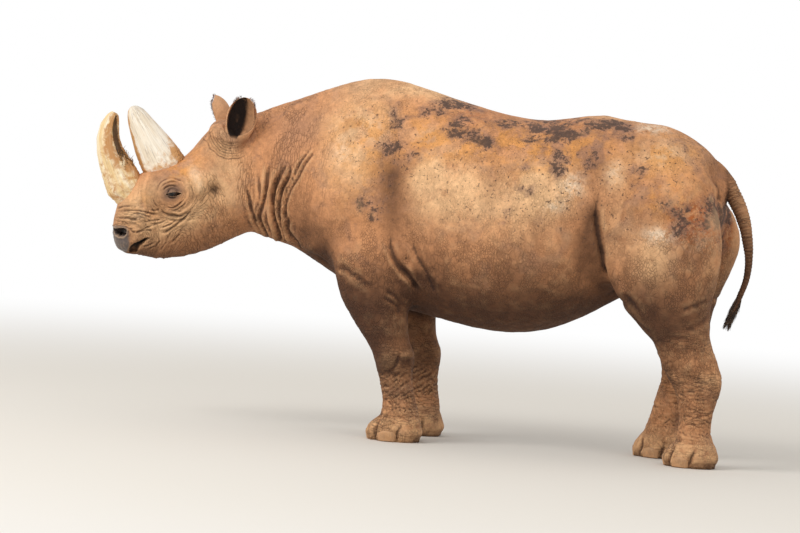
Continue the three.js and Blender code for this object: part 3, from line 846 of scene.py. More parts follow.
def shapeEyes(inHead):
    # lids lie on the eyeball, and inside the slit the skin drops behind it
    side = np.where(inHead[:, 1] >= 0, 1, -1)
    flat = inHead[:, [0, 2]]
    run, rise, bow = slitPlace(flat)
    ball = np.hypot(flat[:, 0] - eyeA, flat[:, 1] - eyeB)
    out = np.abs(inHead[:, 1])
    near = (ball < eyeSlit["reach"]) & (out > 85)
    cap = eyeC + np.sqrt(np.clip(eyeRadius ** 2 - ball ** 2, 0, None))
    lids = np.maximum(out, cap + eyeSlit["lid"] * (0.35 + 0.65 * step(eyeRadius, 10, ball)))
    mound = out + 5 * np.exp(-(ball / 34) ** 2)
    share = step(eyeRadius + 4, eyeRadius - 4, ball)
    shaped = lids * share + np.maximum(out, mound) * (1 - share)
    rim = np.where(rise > 0, eyeSlit["above"], eyeSlit["below"])
    inside = step(1.12, 0.86, np.abs(rise) / np.maximum(rim * bow, 0.01)) * (bow > 0)
    edge = np.exp(-((np.abs(rise) - rim * bow - 2.4) / 2.0) ** 2) * step(46, 30, np.abs(run))
    shaped = shaped + 1.6 * edge * (ball < 40)
    shaped = shaped * (1 - inside) + (cap - eyeSlit["pocket"]) * inside
    out = np.where(near, shaped, out)
    moved = inHead.copy()
    moved[:, 1] = side * out
    return moved


def insideOutline(points, corners):
    inside = np.zeros(len(points), bool)
    for (x1, y1), (x2, y2) in zip(corners, corners[1:] + corners[:1]):
        crosses = (points[:, 1] < y1) != (points[:, 1] < y2)
        at = (x2 - x1) * (points[:, 1] - y1) / (y2 - y1 + 1e-9) + x1
        inside ^= crosses & (points[:, 0] < at)
    return inside


def outlineDistance(points, corners):
    # how far inside an outline, and negative outside it
    distance, _, _ = lineDistance(points, np.array(corners + corners[:1], float))
    return np.where(insideOutline(points, corners), distance, -distance)


def nearNose(inHead):
    return (inHead[:, 0] > 640) * step(10, 26, np.abs(inHead[:, 1]))


def nearMouth(inHead):
    return (inHead[:, 0] > 560) * step(14, 40, np.abs(inHead[:, 1]))


def earPart(inHead):
    # how much each point belongs to an ear, and how much painted shade it gets inside the cup
    part, dark = np.zeros(len(inHead)), np.zeros(len(inHead))
    for side in ("left", "right"):
        here = toEar(side, inHead)
        depth, width = earHalves(here[:, 2])
        share = np.hypot(here[:, 0] / depth, here[:, 1] / width)
        angle = np.degrees(np.arctan2(here[:, 1], here[:, 0]))
        mine = (here[:, 2] > 40) & (here[:, 2] < 262) & (share < 1.16)
        mine &= inHead[:, 1] * earSizes["root"][side][1] > 0
        part = np.maximum(part, mine * step(52, 80, here[:, 2]))
        # painted shade inside the cup, leaving the rear wall by the rim unshaded
        inner = mine * step(2.5, 5.5, (1 - share) * depth) * step(56, 70, here[:, 2])
        lit = step(168, 146, angle) * step(20, 50, angle)
        dark = np.maximum(dark, inner * (1 - lit))
    return part, dark


# The small wrinkles of the head run round the eye, the muzzle and the root of the ear: middle in a
# and b, reach and weight of each.

flowCentres = [((eyeA, eyeB), 75, 1.6), ((690, -70), 120, 1.0), ((70, 178), 110, 1.2)]


def flowOf(inHead):
    # a place that changes fast across the small wrinkles and slowly along them
    total, weights = 0.2 * inHead[:, 0], np.full(len(inHead), 0.2)
    for (a, b), reach, amount in flowCentres:
        away = np.hypot(inHead[:, 0] - a, inHead[:, 2] - b)
        weight = amount * np.exp(-(away / reach) ** 2)
        total, weights = total + weight * away, weights + weight
    total = total + weights * 7 * noiseField(inHead, 42, 37)
    slow = 0.3
    return np.stack([total / weights, slow * (inHead[:, 0] + inHead[:, 2]), slow * inHead[:, 1]], 1)


def foldHead(mesh):
    points, outward = places(mesh), normals(mesh)
    inHead = toHead(points)
    mine = np.flatnonzero(inHead[:, 0] > 20)
    here = inHead[mine]
    facing = outward[mine] @ headAxes
    uneven = noiseField(here, 30, 36)
    warp = np.stack([noiseField(here, 38, seed) for seed in (31, 32)], 1) * 4
    calm = step(30, 60, np.hypot(here[:, 0] - eyeA, here[:, 2] - eyeB))
    flat = here[:, [0, 2]] + warp * calm[:, None]
    sideways = step(14, 34, np.abs(here[:, 1]))
    height = np.zeros(len(here))
    for middle, reach, amount in headForms:
        height += amount * bell(mirrored(here), middle, reach)
    for line, width, depth in headFolds:
        height += crease(flat, curveThrough(line), width, depth, uneven, 0.4) * sideways
    for radius in earWrinkles["radii"]:
        line = arcs(earWrinkles["middle"], radius, earWrinkles["from"], earWrinkles["to"])
        height += crease(flat, line, earWrinkles["width"], earWrinkles["depth"], uneven, 0.05) * sideways
    height *= 1 - earPart(here)[0]
    low = step(90, 10, here[:, 2]) * step(180, 300, here[:, 0])
    height += 1.3 * low * calm * ridges(flowOf(here), 12, 33) + 0.6 * noiseField(here, 9, 34) * calm

    push = np.zeros_like(here)
    side = np.where(here[:, 1] >= 0, 1, -1)
    for opening, reach in ((nostril, nearNose(here)), (mouth, nearMouth(here))):
        within = outlineDistance(flat, opening["outline"])
        height += opening["rim"] * np.exp(-((within + 5) / 4) ** 2) * reach
        a, c, b = opening["inwards"]
        way = np.stack([np.full(len(side), a), c * side, np.full(len(side), b)], 1)
        push += (step(-1, 9, within) * reach * opening["depth"])[:, None] * way
    here = here + facing * height[:, None] + push
    here = shapeEyes(here)
    points[mine] = fromHead(here)
    place(mesh, points)


def blendJoins(mesh):
    # melts the roots of the ears and tail into the skin
    points = places(mesh)
    ring = Neighbours(mesh)
    inHead = toHead(points)
    strength = np.zeros(len(points))
    for side in ("left", "right"):
        here = toEar(side, inHead)
        away = np.hypot(here[:, 0], here[:, 1])
        near = step(120, 70, away) * step(80, 58, here[:, 2]) * (here[:, 2] > -120)
        strength = np.maximum(strength, 0.9 * near * (inHead[:, 1] * earSizes["root"][side][1] > 0))
    root = np.array([tailSizes["line"][1][0], 0, tailSizes["line"][1][1]]) * mm
    strength = np.maximum(strength, 0.3 * step(75, 30, np.linalg.norm(points - root, axis=1) / mm))
    place(mesh, ring.blur(points, 70, 0.5 * strength))


def settle(mesh):
    # the skin lies inside the solids by the coat's depth, and stands flat on the floor
    points, outward = places(mesh), normals(mesh)
    points -= outward * (skinSizes["coat"] + skinSizes["grow"]) * mm
    down = (points[:, 2] < 2.4 * footSizes["sole"] * mm) & (outward[:, 2] < -0.6)
    points[:, 2] = np.where(down, 0, np.maximum(points[:, 2], 0))
    place(mesh, points)


blendJoins(skin)
foldBody(skin)
foldLegs(skin)
foldHead(skin)
settle(skin)
print("folded the skin")


def finished(mesh, name, material):
    mesh.materials.clear()
    mesh.materials.append(material)
    mesh.polygons.foreach_set("material_index", [0] * len(mesh.polygons))
    mesh.polygons.foreach_set("use_smooth", [True] * len(mesh.polygons))
    mesh.update()
    return newObject(name, mesh)


skin = thinned(skin, skinSizes["most"])
print("skin:", triangles(skin), "triangles")


def linear(code):
    # an sRGB hex colour as linear light
    parts = [int(code[i:i + 2], 16) / 255 for i in (1, 3, 5)]
    return (*(c / 12.92 if c <= 0.04045 else ((c + 0.055) / 1.055) ** 2.4 for c in parts), 1.0)


def addNode(tree, kind, inputs=(), output=0, **settings):
    # inputs go by name or in order: a socket is linked, and a hex colour or a number is set
    node = tree.nodes.new("ShaderNode" + kind)
    for key, value in settings.items():
        setattr(node, key, value)
    for key, value in (inputs if isinstance(inputs, dict) else dict(enumerate(inputs))).items():
        if isinstance(value, bpy.types.NodeSocket):
            tree.links.new(value, node.inputs[key])
        else:
            node.inputs[key].default_value = linear(value) if isinstance(value, str) else value
    return node.outputs[output] if len(node.outputs) else None


def newMaterial(name):
    material = bpy.data.materials.new(name)
    material.use_nodes = True
    material.node_tree.nodes.clear()
    return material, material.node_tree


def product(tree, *factors):
    # factors multiplied: (value, low, high) is how far a value has risen from low to high, 0 to 1
    total = None
    for factor in factors:
        if isinstance(factor, tuple):
            factor = addNode(tree, "MapRange", dict(zip(("Value", "From Min", "From Max"), factor)),
                             interpolation_type="SMOOTHSTEP")
        total = factor if total is None else addNode(tree, "Math", (total, factor), operation="MULTIPLY")
    return total


def summed(tree, *terms):
    # terms added up, each of them the product of its factors
    total = product(tree, *terms[0])
    for term in terms[1:]:
        total = addNode(tree, "Math", (total, product(tree, *term)), operation="ADD")
    return total


def layered(tree, colour, *layers):
    # colours laid over each other: the product of a layer's factors is how much of its colour shows
    for *factors, tint in layers:
        colour = addNode(tree, "Mix", {0: product(tree, *factors), 6: colour, 7: tint}, 2, data_type="RGBA")
    return colour


def patterns(tree, where, sizes):
    # noises by name: width of the lumps in mm, detail, roughness, distortion and, for some, the stretch
    made = {}
    for name, (size, detail, rough, warp, *stretch) in sizes.items():
        spot = addNode(tree, "Mapping", {"Vector": where, "Scale": stretch[0]}) if stretch else where
        made[name] = addNode(tree, "TexNoise", {"Vector": spot, "Scale": 1000 / size, "Detail": detail,
                                                "Roughness": rough, "Distortion": warp}, "Fac")
    return made


def creased(tree, where, size, stretch=(1, 1, 1)):
    # 0 in thin creases and 1 on the backs between them, which in places run together
    add = partial(addNode, tree)
    where = add("Mapping", {"Vector": where, "Scale": stretch})
    bend = add("TexNoise", {"Vector": where, "Scale": 700 / size, "Detail": 1.0}, "Color")
    moved = add("VectorMath", (bend, [0.9 * size * mm] * 3, where), operation="MULTIPLY_ADD")
    edge = add("TexVoronoi", {"Vector": moved, "Scale": 1000 / size}, "Distance", feature="DISTANCE_TO_EDGE")
    gone = add("TexNoise", {"Vector": where, "Scale": 1000 / (6 * size), "Detail": 2, "Roughness": 0.55})
    return product(tree, (summed(tree, (edge,), ((gone, 0.42, 0.62), 0.16)), 0, 0.17))


# Rhinoceros hide, dusted with dry clay: a dull, dry surface, broken by a net of fine wrinkles whose
# bottoms are darkened by painted shade and whose ridges are lightened by painted highlight, with old mud in
# patches.

hideLook = {
    # shade, cleft, lines, cup and dark are colours of painted shade; pale and the near-white last one are
    # painted highlight and painted sunlight
    "tan": "#D59667", "brown": "#A3704C", "shade": "#3C2113", "pale": "#F3C492", "ochre": "#DF994F",
    "grey": "#8E6C5C", "mud": "#43352F", "rust": "#A8561C", "lip": "#675C58", "lid": "#665249",
    "ear": "#CF9F76", "cup_shade": "#1E1410", "dark": "#150E0B", "cleft": "#33211A", "lines": "#452C1D",
    "dust": "#DDAC7C", "painted_sun_spots": "#F3DABC",
    # width in mm, detail, roughness and distortion of the noises that break the colours up
    "noises": {
        "broad": (420, 4, 0.55, 0.4), "patch": (120, 5, 0.6, 0.6), "greyed": (150, 5, 0.62, 0.8),
        "ochre": (70, 5, 0.6, 0), "rust": (20, 5, 0.75, 0), "dry": (34, 4, 0.7, 0),
        "cluster": (80, 4, 0.64, 0.3), "flakes": (19, 5, 0.75, 0), "speck": (14, 3, 0.6, 0),
        "small": (26, 4, 0.65, 0), "fine": (8, 3, 0.6, 0), "grain": (5, 2, 0.6, 0),
    },
    # width in mm and stretch of the wrinkles' cells
    "creases": {
        "net": (10, (1, 1, 0.7)), "slack": (25, (1, 1, 0.62)),
        "streaks": (12, (1, 1, 0.15)),  # upright ones of the neck
        "rings": (13, (0.28, 0.28, 1)),  # level ones of the legs
    },
    "flow": 10,  # mm, width of the creases of the face
    "roughness": 0.8,
}

# the attributes of the skin that say where each look goes
hideMarks = ("under", "shaded", "face", "ashen", "dust_and_sunlight", "painted_sunlight", "ochre", "rust", "painted_sun_spots", "mud",
             "flecked", "lip", "lid", "ear", "cup_shade", "hollow", "ridge_highlight", "wrinkled", "streaked", "ringed",
             "dark")


def hideMaterial():
    look = hideLook
    material, tree = newMaterial("dusty_rhinoceros_hide")
    add, times, plus, lay = (partial(make, tree) for make in (addNode, product, summed, layered))
    where = add("TexCoord", output="Object")
    noise = patterns(tree, where, look["noises"])
    mark = {name: add("Attribute", output="Fac", attribute_name=name) for name in hideMarks}
    crease = {name: creased(tree, where, *sizes) for name, sizes in look["creases"].items()}
    flows = creased(tree, add("Attribute", output="Vector", attribute_name="flow"), look["flow"])

    # painted shade on the belly, the upper legs, the tail and the hollows, which holds fewer patches
    below = add("Math", (mark["under"], times(mark["shaded"], 0.8)), operation="MAXIMUM")
    even = plus((below, -0.75), (1.0,))
    broad = plus((noise["broad"],), (mark["face"], 0.12))
    greyed = add("Math", (times((noise["greyed"], 0.48, 0.68), even, 0.5), times(mark["ashen"], 0.75)),
                 operation="MAXIMUM")
    colour = lay(look["brown"],
                 ((broad, 0.26, 0.6), look["tan"]),
                 ((noise["patch"], 0.42, 0.68), even, 0.5, look["tan"]),
                 (greyed, look["grey"]),
                 # dust, and painted sunlight, on the feet, hock and knee cap
                 (mark["dust_and_sunlight"], (noise["small"], 0.3, 0.6), 0.85, look["dust"]),
                 # painted sunlight
                 (mark["painted_sunlight"], (noise["patch"], 0.18, 0.58), 0.85, look["pale"]),
                 (mark["ochre"], (noise["ochre"], 0.42, 0.58), 0.7, look["ochre"]),
                 (mark["rust"], (noise["rust"], 0.44, 0.56), 0.8, look["rust"]),
                 # painted shade on the belly, the upper legs, the tail and the hollows
                 (below, 0.9, look["shade"]),
                 # painted spots of sunlight
                 (mark["painted_sun_spots"], (noise["dry"], 0.36, 0.56), 0.85, look["painted_sun_spots"]))

    # old mud: a grey film with soft edges, and on it dark flakes in clusters
    film = plus((noise["cluster"],), (mark["mud"], 0.3))
    mud = plus((noise["cluster"], 0.8), (noise["flakes"], 0.9), (mark["mud"], 0.4))
    colour = lay(colour,
                 ((film, 0.6, 0.88), even, 0.7, look["grey"]),
                 ((mud, 1.2, 1.29), plus((noise["small"], 0.6), (0.5,)), look["mud"]),
                 ((noise["speck"], 0.61, 0.66), mark["flecked"], 0.8, look["mud"]),
                 (mark["lip"], look["lip"]),
                 (mark["lid"], 0.85, look["lid"]),
                 (mark["ear"], 0.7, look["ear"]),
                 # painted shade inside the ears
                 (mark["cup_shade"], look["cup_shade"]))
    mottle = plus(((noise["small"], 0.34, 0.66), 0.22), ((noise["fine"], 0.35, 0.65), 0.13), (0.8,))
    colour = add("Mix", {0: 1.0, 6: colour, 7: mottle}, 2, data_type="RGBA", blend_type="MULTIPLY")

    smooth = plus((mark["lip"], -1.0), (1.0,))
    wrinkled = times(mark["wrinkled"], smooth)
    folds = ((crease["streaks"], mark["streaked"]), (crease["rings"], mark["ringed"]),
             (flows, times(mark["face"], smooth)))
    height = plus((crease["net"], wrinkled), (crease["slack"], wrinkled, 0.7), *folds,
                  (noise["small"], 1.0), (noise["grain"], 0.5), (noise["fine"], 0.5))
    bump = add("Bump", {"Height": height, "Strength": 0.8, "Distance": 0.004})

    # painted shade in the bottoms of the wrinkles and in the hollows, and painted highlight on the bulges
    flat = plus((crease["net"], crease["slack"], -1.0), (1.0,))
    lines = plus((flat, wrinkled, 0.3), *(((fold, 0.4, 0.0), share, 0.42) for fold, share in folds))
    colour = lay(colour,
                 (mark["hollow"], 0.75, look["cleft"]),
                 # painted highlight on the bulges
                 (mark["ridge_highlight"], 0.3, even, look["pale"]),
                 (lines, look["lines"]),
                 # painted shade inside the nostril and the mouth
                 (mark["dark"], look["dark"]))
    roughness = plus((mark["lip"], -0.48), (look["roughness"],))
    shader = add("BsdfPrincipled", {"Base Color": colour, "Roughness": roughness, "Normal": bump,
                                    "Specular IOR Level": 0.3})
    add("OutputMaterial", {"Surface": shader})
    return material


# Where each colour of the hide lies: centre x and z (or a and b on the head), reach and strength.

markings = {
    "mud": [((-160, 1450), (50, 50), 0.8), ((-130, 1380), (50, 50), 1.0), ((-170, 1280), (60, 40), 0.95),
            ((-90, 1280), (60, 50), 1.0), ((-40, 1250), (70, 40), 0.9), ((0, 1440), (60, 30), 0.9),
            ((60, 1490), (70, 34), 1.0), ((130, 1460), (90, 34), 1.0), ((130, 1370), (70, 36), 1.0),
            ((200, 1380), (90, 44), 1.1), ((280, 1330), (50, 26), 0.8), ((310, 1290), (44, 30), 0.85),
            ((360, 1420), (120, 34), 0.95), ((480, 1360), (50, 34), 1.1), ((530, 1420), (90, 34), 1.0),
            ((640, 1430), (90, 34), 1.1), ((730, 1440), (90, 34), 1.15), ((850, 1450), (90, 30), 1.0),
            ((580, 1360), (60, 30), 0.95), ((660, 1370), (60, 30), 0.95), ((630, 1260), (40, 60), 1.15),
            ((600, 1280), (30, 40), 1.0), ((750, 1280), (40, 50), 1.15), ((770, 1320), (36, 40), 1.05),
            ((480, 1230), (30, 50), 0.85), ((440, 1160), (30, 50), 0.8), ((520, 1130), (34, 44), 0.85),
            ((430, 1030), (30, 50), 0.8), ((-240, 1030), (60, 50), 0.9), ((-190, 970), (60, 90), 0.85),
            ((-120, 1120), (60, 120), 0.7), ((-490, 1400), (110, 60), 0.5), ((990, 1270), (50, 60), 0.95),
            ((940, 1210), (50, 50), 0.8), ((1100, 1120), (60, 44), 1.05), ((1150, 1020), (44, 50), 1.0),
            ((1210, 1080), (60, 44), 0.95), ((1300, 1080), (60, 80), 0.9), ((1250, 1120), (60, 44), 0.9),
            ((1260, 960), (70, 90), 0.65), ((1160, 1380), (100, 40), 0.75), ((900, 1390), (60, 30), 0.9)],
    "ochre": [((20, 1340), (130, 90), 1.0), ((180, 1310), (120, 70), 0.9), ((490, 1300), (170, 90), 1.0),
              ((330, 1360), (120, 60), 0.8), ((1060, 1330), (150, 80), 1.0), ((700, 1340), (140, 80), 0.9),
              ((-260, 1330), (160, 120), 0.8), ((-240, 1150), (140, 160), 0.5),
              ((1080, 1150), (130, 90), 0.9)],
    # painted sunlight: lighter where the skin faces the light
    "painted_sunlight": [((-310, 1220), (120, 150), 0.9), ((-290, 1390), (140, 90), 1.0), ((20, 1340), (90, 50), 0.5),
               ((30, 1160), (70, 60), 0.9), ((120, 1190), (120, 90), 1.0), ((210, 1090), (120, 120), 1.1),
               ((60, 1060), (80, 110), 0.6), ((450, 1060), (150, 140), 0.8), ((620, 1120), (90, 90), 0.8),
               ((1050, 1330), (120, 70), 1.0), ((560, 1180), (120, 90), 0.8), ((1070, 900), (80, 130), 0.9),
               ((1330, 380), (50, 34), 0.6), ((-80, 350), (40, 40), 0.5), ((-40, 1540), (360, 50), 1.0),
               ((900, 1490), (300, 26), 0.9), ((860, 1230), (50, 60), 0.9), ((900, 1010), (80, 160), 0.4)],
    # painted spots of sunlight
    "painted_sun_spots": [((690, 1170), (46, 50), 1.0), ((630, 1080), (40, 22), 0.9), ((1080, 990), (60, 30), 1.1),
                 ((980, 1440), (70, 22), 1.0), ((-340, 1250), (40, 50), 0.5), ((860, 1240), (36, 46), 0.5)],
    "rust": [((1240, 1070), (90, 60), 1.2), ((1170, 1100), (60, 40), 0.9), ((1190, 1000), (80, 50), 1.0),
             ((1290, 1010), (60, 90), 1.0), ((200, 1440), (110, 40), 0.5), ((620, 1420), (120, 50), 0.4)],
    "ashen": [((-560, 1340), (140, 100), 0.6), ((-610, 1200), (60, 70), 0.3)],
    "flecked": [((500, 1150), (520, 300), 1.0), ((1050, 1250), (300, 240), 0.9),
                ((-200, 1300), (260, 240), 1.0)],
    "shaded": [((-120, 1180), (60, 60), 0.55), ((-110, 1110), (55, 90), 0.65), ((-90, 980), (60, 120), 0.7),
               ((-330, 1350), (40, 60), 0.4), ((790, 1040), (36, 80), 0.9), ((780, 930), (66, 100), 1.0),
               ((790, 800), (100, 110), 1.0), ((800, 1260), (40, 40), 0.35), ((340, 1130), (50, 110), 0.45),
               ((930, 1350), (60, 50), 0.3), ((1180, 900), (90, 90), 0.3), ((1290, 1330), (60, 90), 0.5),
               ((-20, 800), (90, 90), 0.5), ((-560, 1020), (110, 150), 0.35), ((-660, 980), (80, 170), 0.45),
               ((-680, 850), (150, 50), 0.5), ((-600, 840), (120, 60), 0.4), ((1250, 850), (60, 110), 0.5)],
}

lipOutline = [(734, 36), (704, 24), (674, 10), (664, -12), (672, -34), (680, -50), (686, -74), (702, -98),
              (730, -116), (790, -110), (790, 30)]


headMarkings = {
    # painted sunlight on the cheekbone and other parts of the head that face the light
    "painted_sunlight": [((300, 50), (70, 60), 1.1), ((250, -40), (120, 70), 0.5), ((520, 90), (90, 60), 0.7),
               ((130, 150), (80, 70), 0.7), ((620, 60), (70, 60), 0.8), ((560, -70), (110, 60), 0.7),
               ((420, -60), (120, 50), 0.6), ((160, 20), (90, 80), 0.6),
               ((340, -110), (150, 50), 0.7), ((590, -10), (90, 60), 0.4)],
    "ochre": [((350, 110), (60, 60), 0.9), ((290, 150), (70, 50), 0.7), ((560, 60), (60, 60), 0.5)],
    # painted spots of sunlight on the cheekbone and the muzzle
    "painted_sun_spots": [((300, 66), (24, 50), 0.5), ((600, 20), (30, 20), 0.3)],
    "ashen": [((90, 170), (60, 70), 0.9), ((440, 112), (90, 34), 0.5), ((640, 50), (50, 30), 0.3),
              ((370, 130), (90, 46), 0.3)],
    "shaded": [((250, -14), (34, 34), 0.75), ((180, 90), (60, 70), 0.3), ((336, -60), (60, 26), 0.3)],
}


def setAttribute(mesh, name, values):
    layer = mesh.attributes.new(name, "FLOAT", "POINT")
    layer.data.foreach_set("value", np.clip(values, 0, 1).astype(np.float32))


def setVectors(mesh, name, values):
    layer = mesh.attributes.new(name, "FLOAT_VECTOR", "POINT")
    layer.data.foreach_set("vector", values.astype(np.float32).ravel())


def markSkin(mesh):
    points, outward, ring = places(mesh), normals(mesh), Neighbours(mesh)
    inHead = toHead(points)
    plane = points[:, [0, 2]] / mm
    body = 1 - step(-40, 60, inHead[:, 0])
    flat = inHead[:, [0, 2]]
    for name, blobs in markings.items():
        total = np.zeros(len(points))
        for where, marks, share in ((plane, blobs, body), (flat, headMarkings.get(name, []), 1 - body)):
            for middle, reach, amount in marks:
                total += share * amount * bell(where, middle, reach)
        setAttribute(mesh, name, total)

    # painted shade in the hollows of the skin's shape, and painted highlight on its bulges
    bulge = ((points - ring.blur(points, 6)) * outward).sum(1) / mm
    ear, cup_shade = earPart(inHead)
    plain = 1 - 0.85 * ear
    smoothBack = step(-0.3, -0.15, points[:, 0]) * step(0.98, 1.1, points[:, 2])
    smoothBack *= np.maximum(step(0.76, 0.72, points[:, 0]), step(1.2, 1.25, points[:, 2]))
    start = 0.15 + 0.45 * body * step(0.32, 0.6, points[:, 2])
    setAttribute(mesh, "hollow", step(start, start + 1.65, -bulge) * plain * (1 - 0.9 * smoothBack))
    # painted highlight on the bulges
    setAttribute(mesh, "ridge_highlight", step(start, start + 1.45, bulge) * plain * (1 - 0.8 * smoothBack))
    # painted shade: darker on down-facing skin, low down, on the upper legs and on the tail
    low = 1 - step(0.45, 0.9, points[:, 2])
    foreleg = 1.1 * step(0.22, 0.02, points[:, 0])
    hindLeg = step(0.78, 0.98, points[:, 0]) * (0.05 + 0.95 * step(0.46, 0.62, points[:, 2]))
    limb = step(0.92, 0.6, points[:, 2]) * step(0.14, 0.4, points[:, 2]) * (foreleg + hindLeg)
    beside, _, _ = lineDistance(plane, curveThrough(tailSizes["line"])[:, :2])
    onTail = step(62, 44, beside) * step(0.05, 0.04, np.abs(points[:, 1])) * step(1.27, 1.32, points[:, 0])
    belly = step(0.35, -0.95, outward[:, 2]) * (0.45 + 0.55 * body)
    under = 1.02 * belly + 0.12 * low + 0.48 * limb + (0.5 + 0.3 * step(1.1, 0.9, points[:, 2])) * onTail
    setAttribute(mesh, "under", under)
    # dust, and painted sunlight, on the feet, the point of the hock and the knee cap
    hock = bell(plane, (1190, 400), 60)
    kneeCap = bell(plane, (-62, 340), (50, 60))
    setAttribute(mesh, "dust_and_sunlight", step(0.17, 0.06, points[:, 2]) + 0.5 * hock + 0.35 * kneeCap)

    front = inHead[:, 0] > 300
    lip = insideOutline(flat, lipOutline) & front
    lip = ring.blur(lip.astype(float), 3)
    setAttribute(mesh, "lip", lip * front)
    depth = np.abs(inHead[:, 1])
    # painted shade: nearly black inside the nostril and the gap of the mouth
    hole = step(1, 7, outlineDistance(flat, nostril["outline"])) * nearNose(inHead)
    gap = step(0, 6, outlineDistance(flat, mouth["outline"])) * nearMouth(inHead)
    setAttribute(mesh, "dark", np.maximum(hole, gap))
    eye = np.hypot((flat[:, 0] - eyeA) / 56, (flat[:, 1] - eyeB - 2) / 42)
    setAttribute(mesh, "lid", step(1.2, 0.4, eye) * (depth > 80))
    setAttribute(mesh, "ear", ear)
    setAttribute(mesh, "cup_shade", cup_shade)

    inNeck = step(-0.40, -0.56, points[:, 0]) * (1 - step(150, 260, inHead[:, 0])) * (1 - ear)
    cheek = 0.6 * step(420, 300, flat[:, 0]) * step(60, 0, flat[:, 1]) * (1 - ear)
    setAttribute(mesh, "streaked", np.where(points[:, 0] < -0.40, np.maximum(inNeck, cheek), 0))
    lowLeg = 1 - step(0.50, 0.72, points[:, 2])
    setAttribute(mesh, "ringed", np.maximum(lowLeg, onTail))
    wrinkled = 0.42 + 0.5 * (1 - step(0.75, 1.0, points[:, 2])) + 0.3 * noiseField(points, 0.22, 51)
    wrinkled += 0.6 * bell(plane, (1170, 860), 150)  # behind the thigh
    setAttribute(mesh, "wrinkled", wrinkled * (1 - ear) * (1 - 0.6 * step(150, 260, inHead[:, 0])))
    fromEye = np.hypot(flat[:, 0] - eyeA, flat[:, 1] - eyeB)
    face = step(120, 240, inHead[:, 0]) * (0.35 + 0.65 * step(100, 20, inHead[:, 2])) * step(30, 75, fromEye)
    root = bell(flat, (95, 165), (62, 70)) * (1 - ear)
    setAttribute(mesh, "face", np.maximum(face, root))
    setVectors(mesh, "flow", flowOf(inHead) * mm)


markSkin(skin)
hide = finished(skin, "hide_skin", hideMaterial())
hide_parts(*fleshNodes, "tail", "ear_left", "ear_right")
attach(hide, "root")
print("dressed the skin")


# Each horn's middle line in a and b, from the base up.

hornLines = {
    "horn_front": [(572, 100), (583, 152), (584, 205), (584, 262), (580, 310), (570, 355), (549, 402),
                   (520, 439), (497, 460), (483, 469)],
    "horn_rear": [(392, 110), (391, 160), (396, 209), (399, 273), (401, 345), (403, 399), (404, 430),
                  (405, 462)],
}

hornSizes = {
    "cell": 3.4,  # mm, of the wrap that rounds the horn
    "rounds": 22,
    "fibre": 0.7,  # mm, height of the ridges that run up the horn
    "flakes": 2.2,  # mm, roughness of the base
    "hollow": 15,  # mm, depth of the worn groove up the back of the front horn
    "hollowAt": (0.84, 0.72),  # half turns from the front, low down and at the tip
    "unrolled": (55, 400),  # mm, half thickness and length of the sheet that the grain is laid out on
}

# Keratin, grown as bundled hairs and worn smooth: a waxy, half-gloss surface with long grain, pale
# where it is rubbed, honey-brown and dirty in its cracks and round its base, with painted shade in the front
# horn's worn groove.

hornLook = {
    "horn_front": {"pale": "#E6C692", "rubbed": "#F8EACC", "stain": "#B67836", "dirt_and_shade": "#4C3420",
                   "grey": "#A8895C"},
    "horn_rear": {"pale": "#EADBC3", "rubbed": "#F6EDDD", "stain": "#C98A38", "dirt_and_shade": "#6E4C2C",
                  "grey": "#9A897A"},
}

# width in mm, detail, roughness and distortion, and the stretch of those that run along the horn
hornNoises = {
    "along": {"grain": (5.5, 5, 0.7, 0, (1, 0.055, 1)), "bands": (26, 4, 0.6, 0, (1, 0.12, 1))},
    "over": {"blots": (34, 5, 0.65, 0.5), "pits": (7, 3, 0.6, 0)},
}


def hornMaterial(node):
    look = hornLook[node]
    material, tree = newMaterial("worn_keratin_" + node)
    add, plus = partial(addNode, tree), partial(summed, tree)
    lie = add("Attribute", output="Vector", attribute_name="lie")
    along = patterns(tree, lie, hornNoises["along"])
    over = patterns(tree, add("TexCoord", output="Object"), hornNoises["over"])
    mark = {name: add("Attribute", output="Fac", attribute_name=name) for name in ("greyed", "stain", "dirt_and_shade")}
    streaks = plus((along["grain"],), (mark["greyed"], 0.1))
    stain = plus((mark["stain"],), (over["blots"], 2.2), (along["bands"], 1.0), (-1.65,))
    dirt_and_shade = plus((mark["dirt_and_shade"],), (over["pits"], 1.3), (-0.78,))
    colour = layered(tree, look["pale"],
                     ((along["bands"], 0.4, 0.62), look["rubbed"]),
                     ((streaks, 0.52, 0.68), 0.6, look["grey"]),
                     ((stain, 0.2, 0.8), 0.85, look["stain"]),
                     # dirt, and painted shade in the front horn's groove
                     ((dirt_and_shade, 0.2, 0.7), 0.92, look["dirt_and_shade"]))
    height = plus((along["grain"],), (over["pits"], 0.5))
    bump = add("Bump", {"Height": height, "Strength": 0.5, "Distance": 0.002})
    roughness = plus((along["grain"], 0.3), (mark["dirt_and_shade"], 0.25), (0.36,))
    shader = add("BsdfPrincipled", {"Base Color": colour, "Roughness": roughness, "Normal": bump,
                                    "Specular IOR Level": 0.35})
    add("OutputMaterial", {"Surface": shader})
    return material


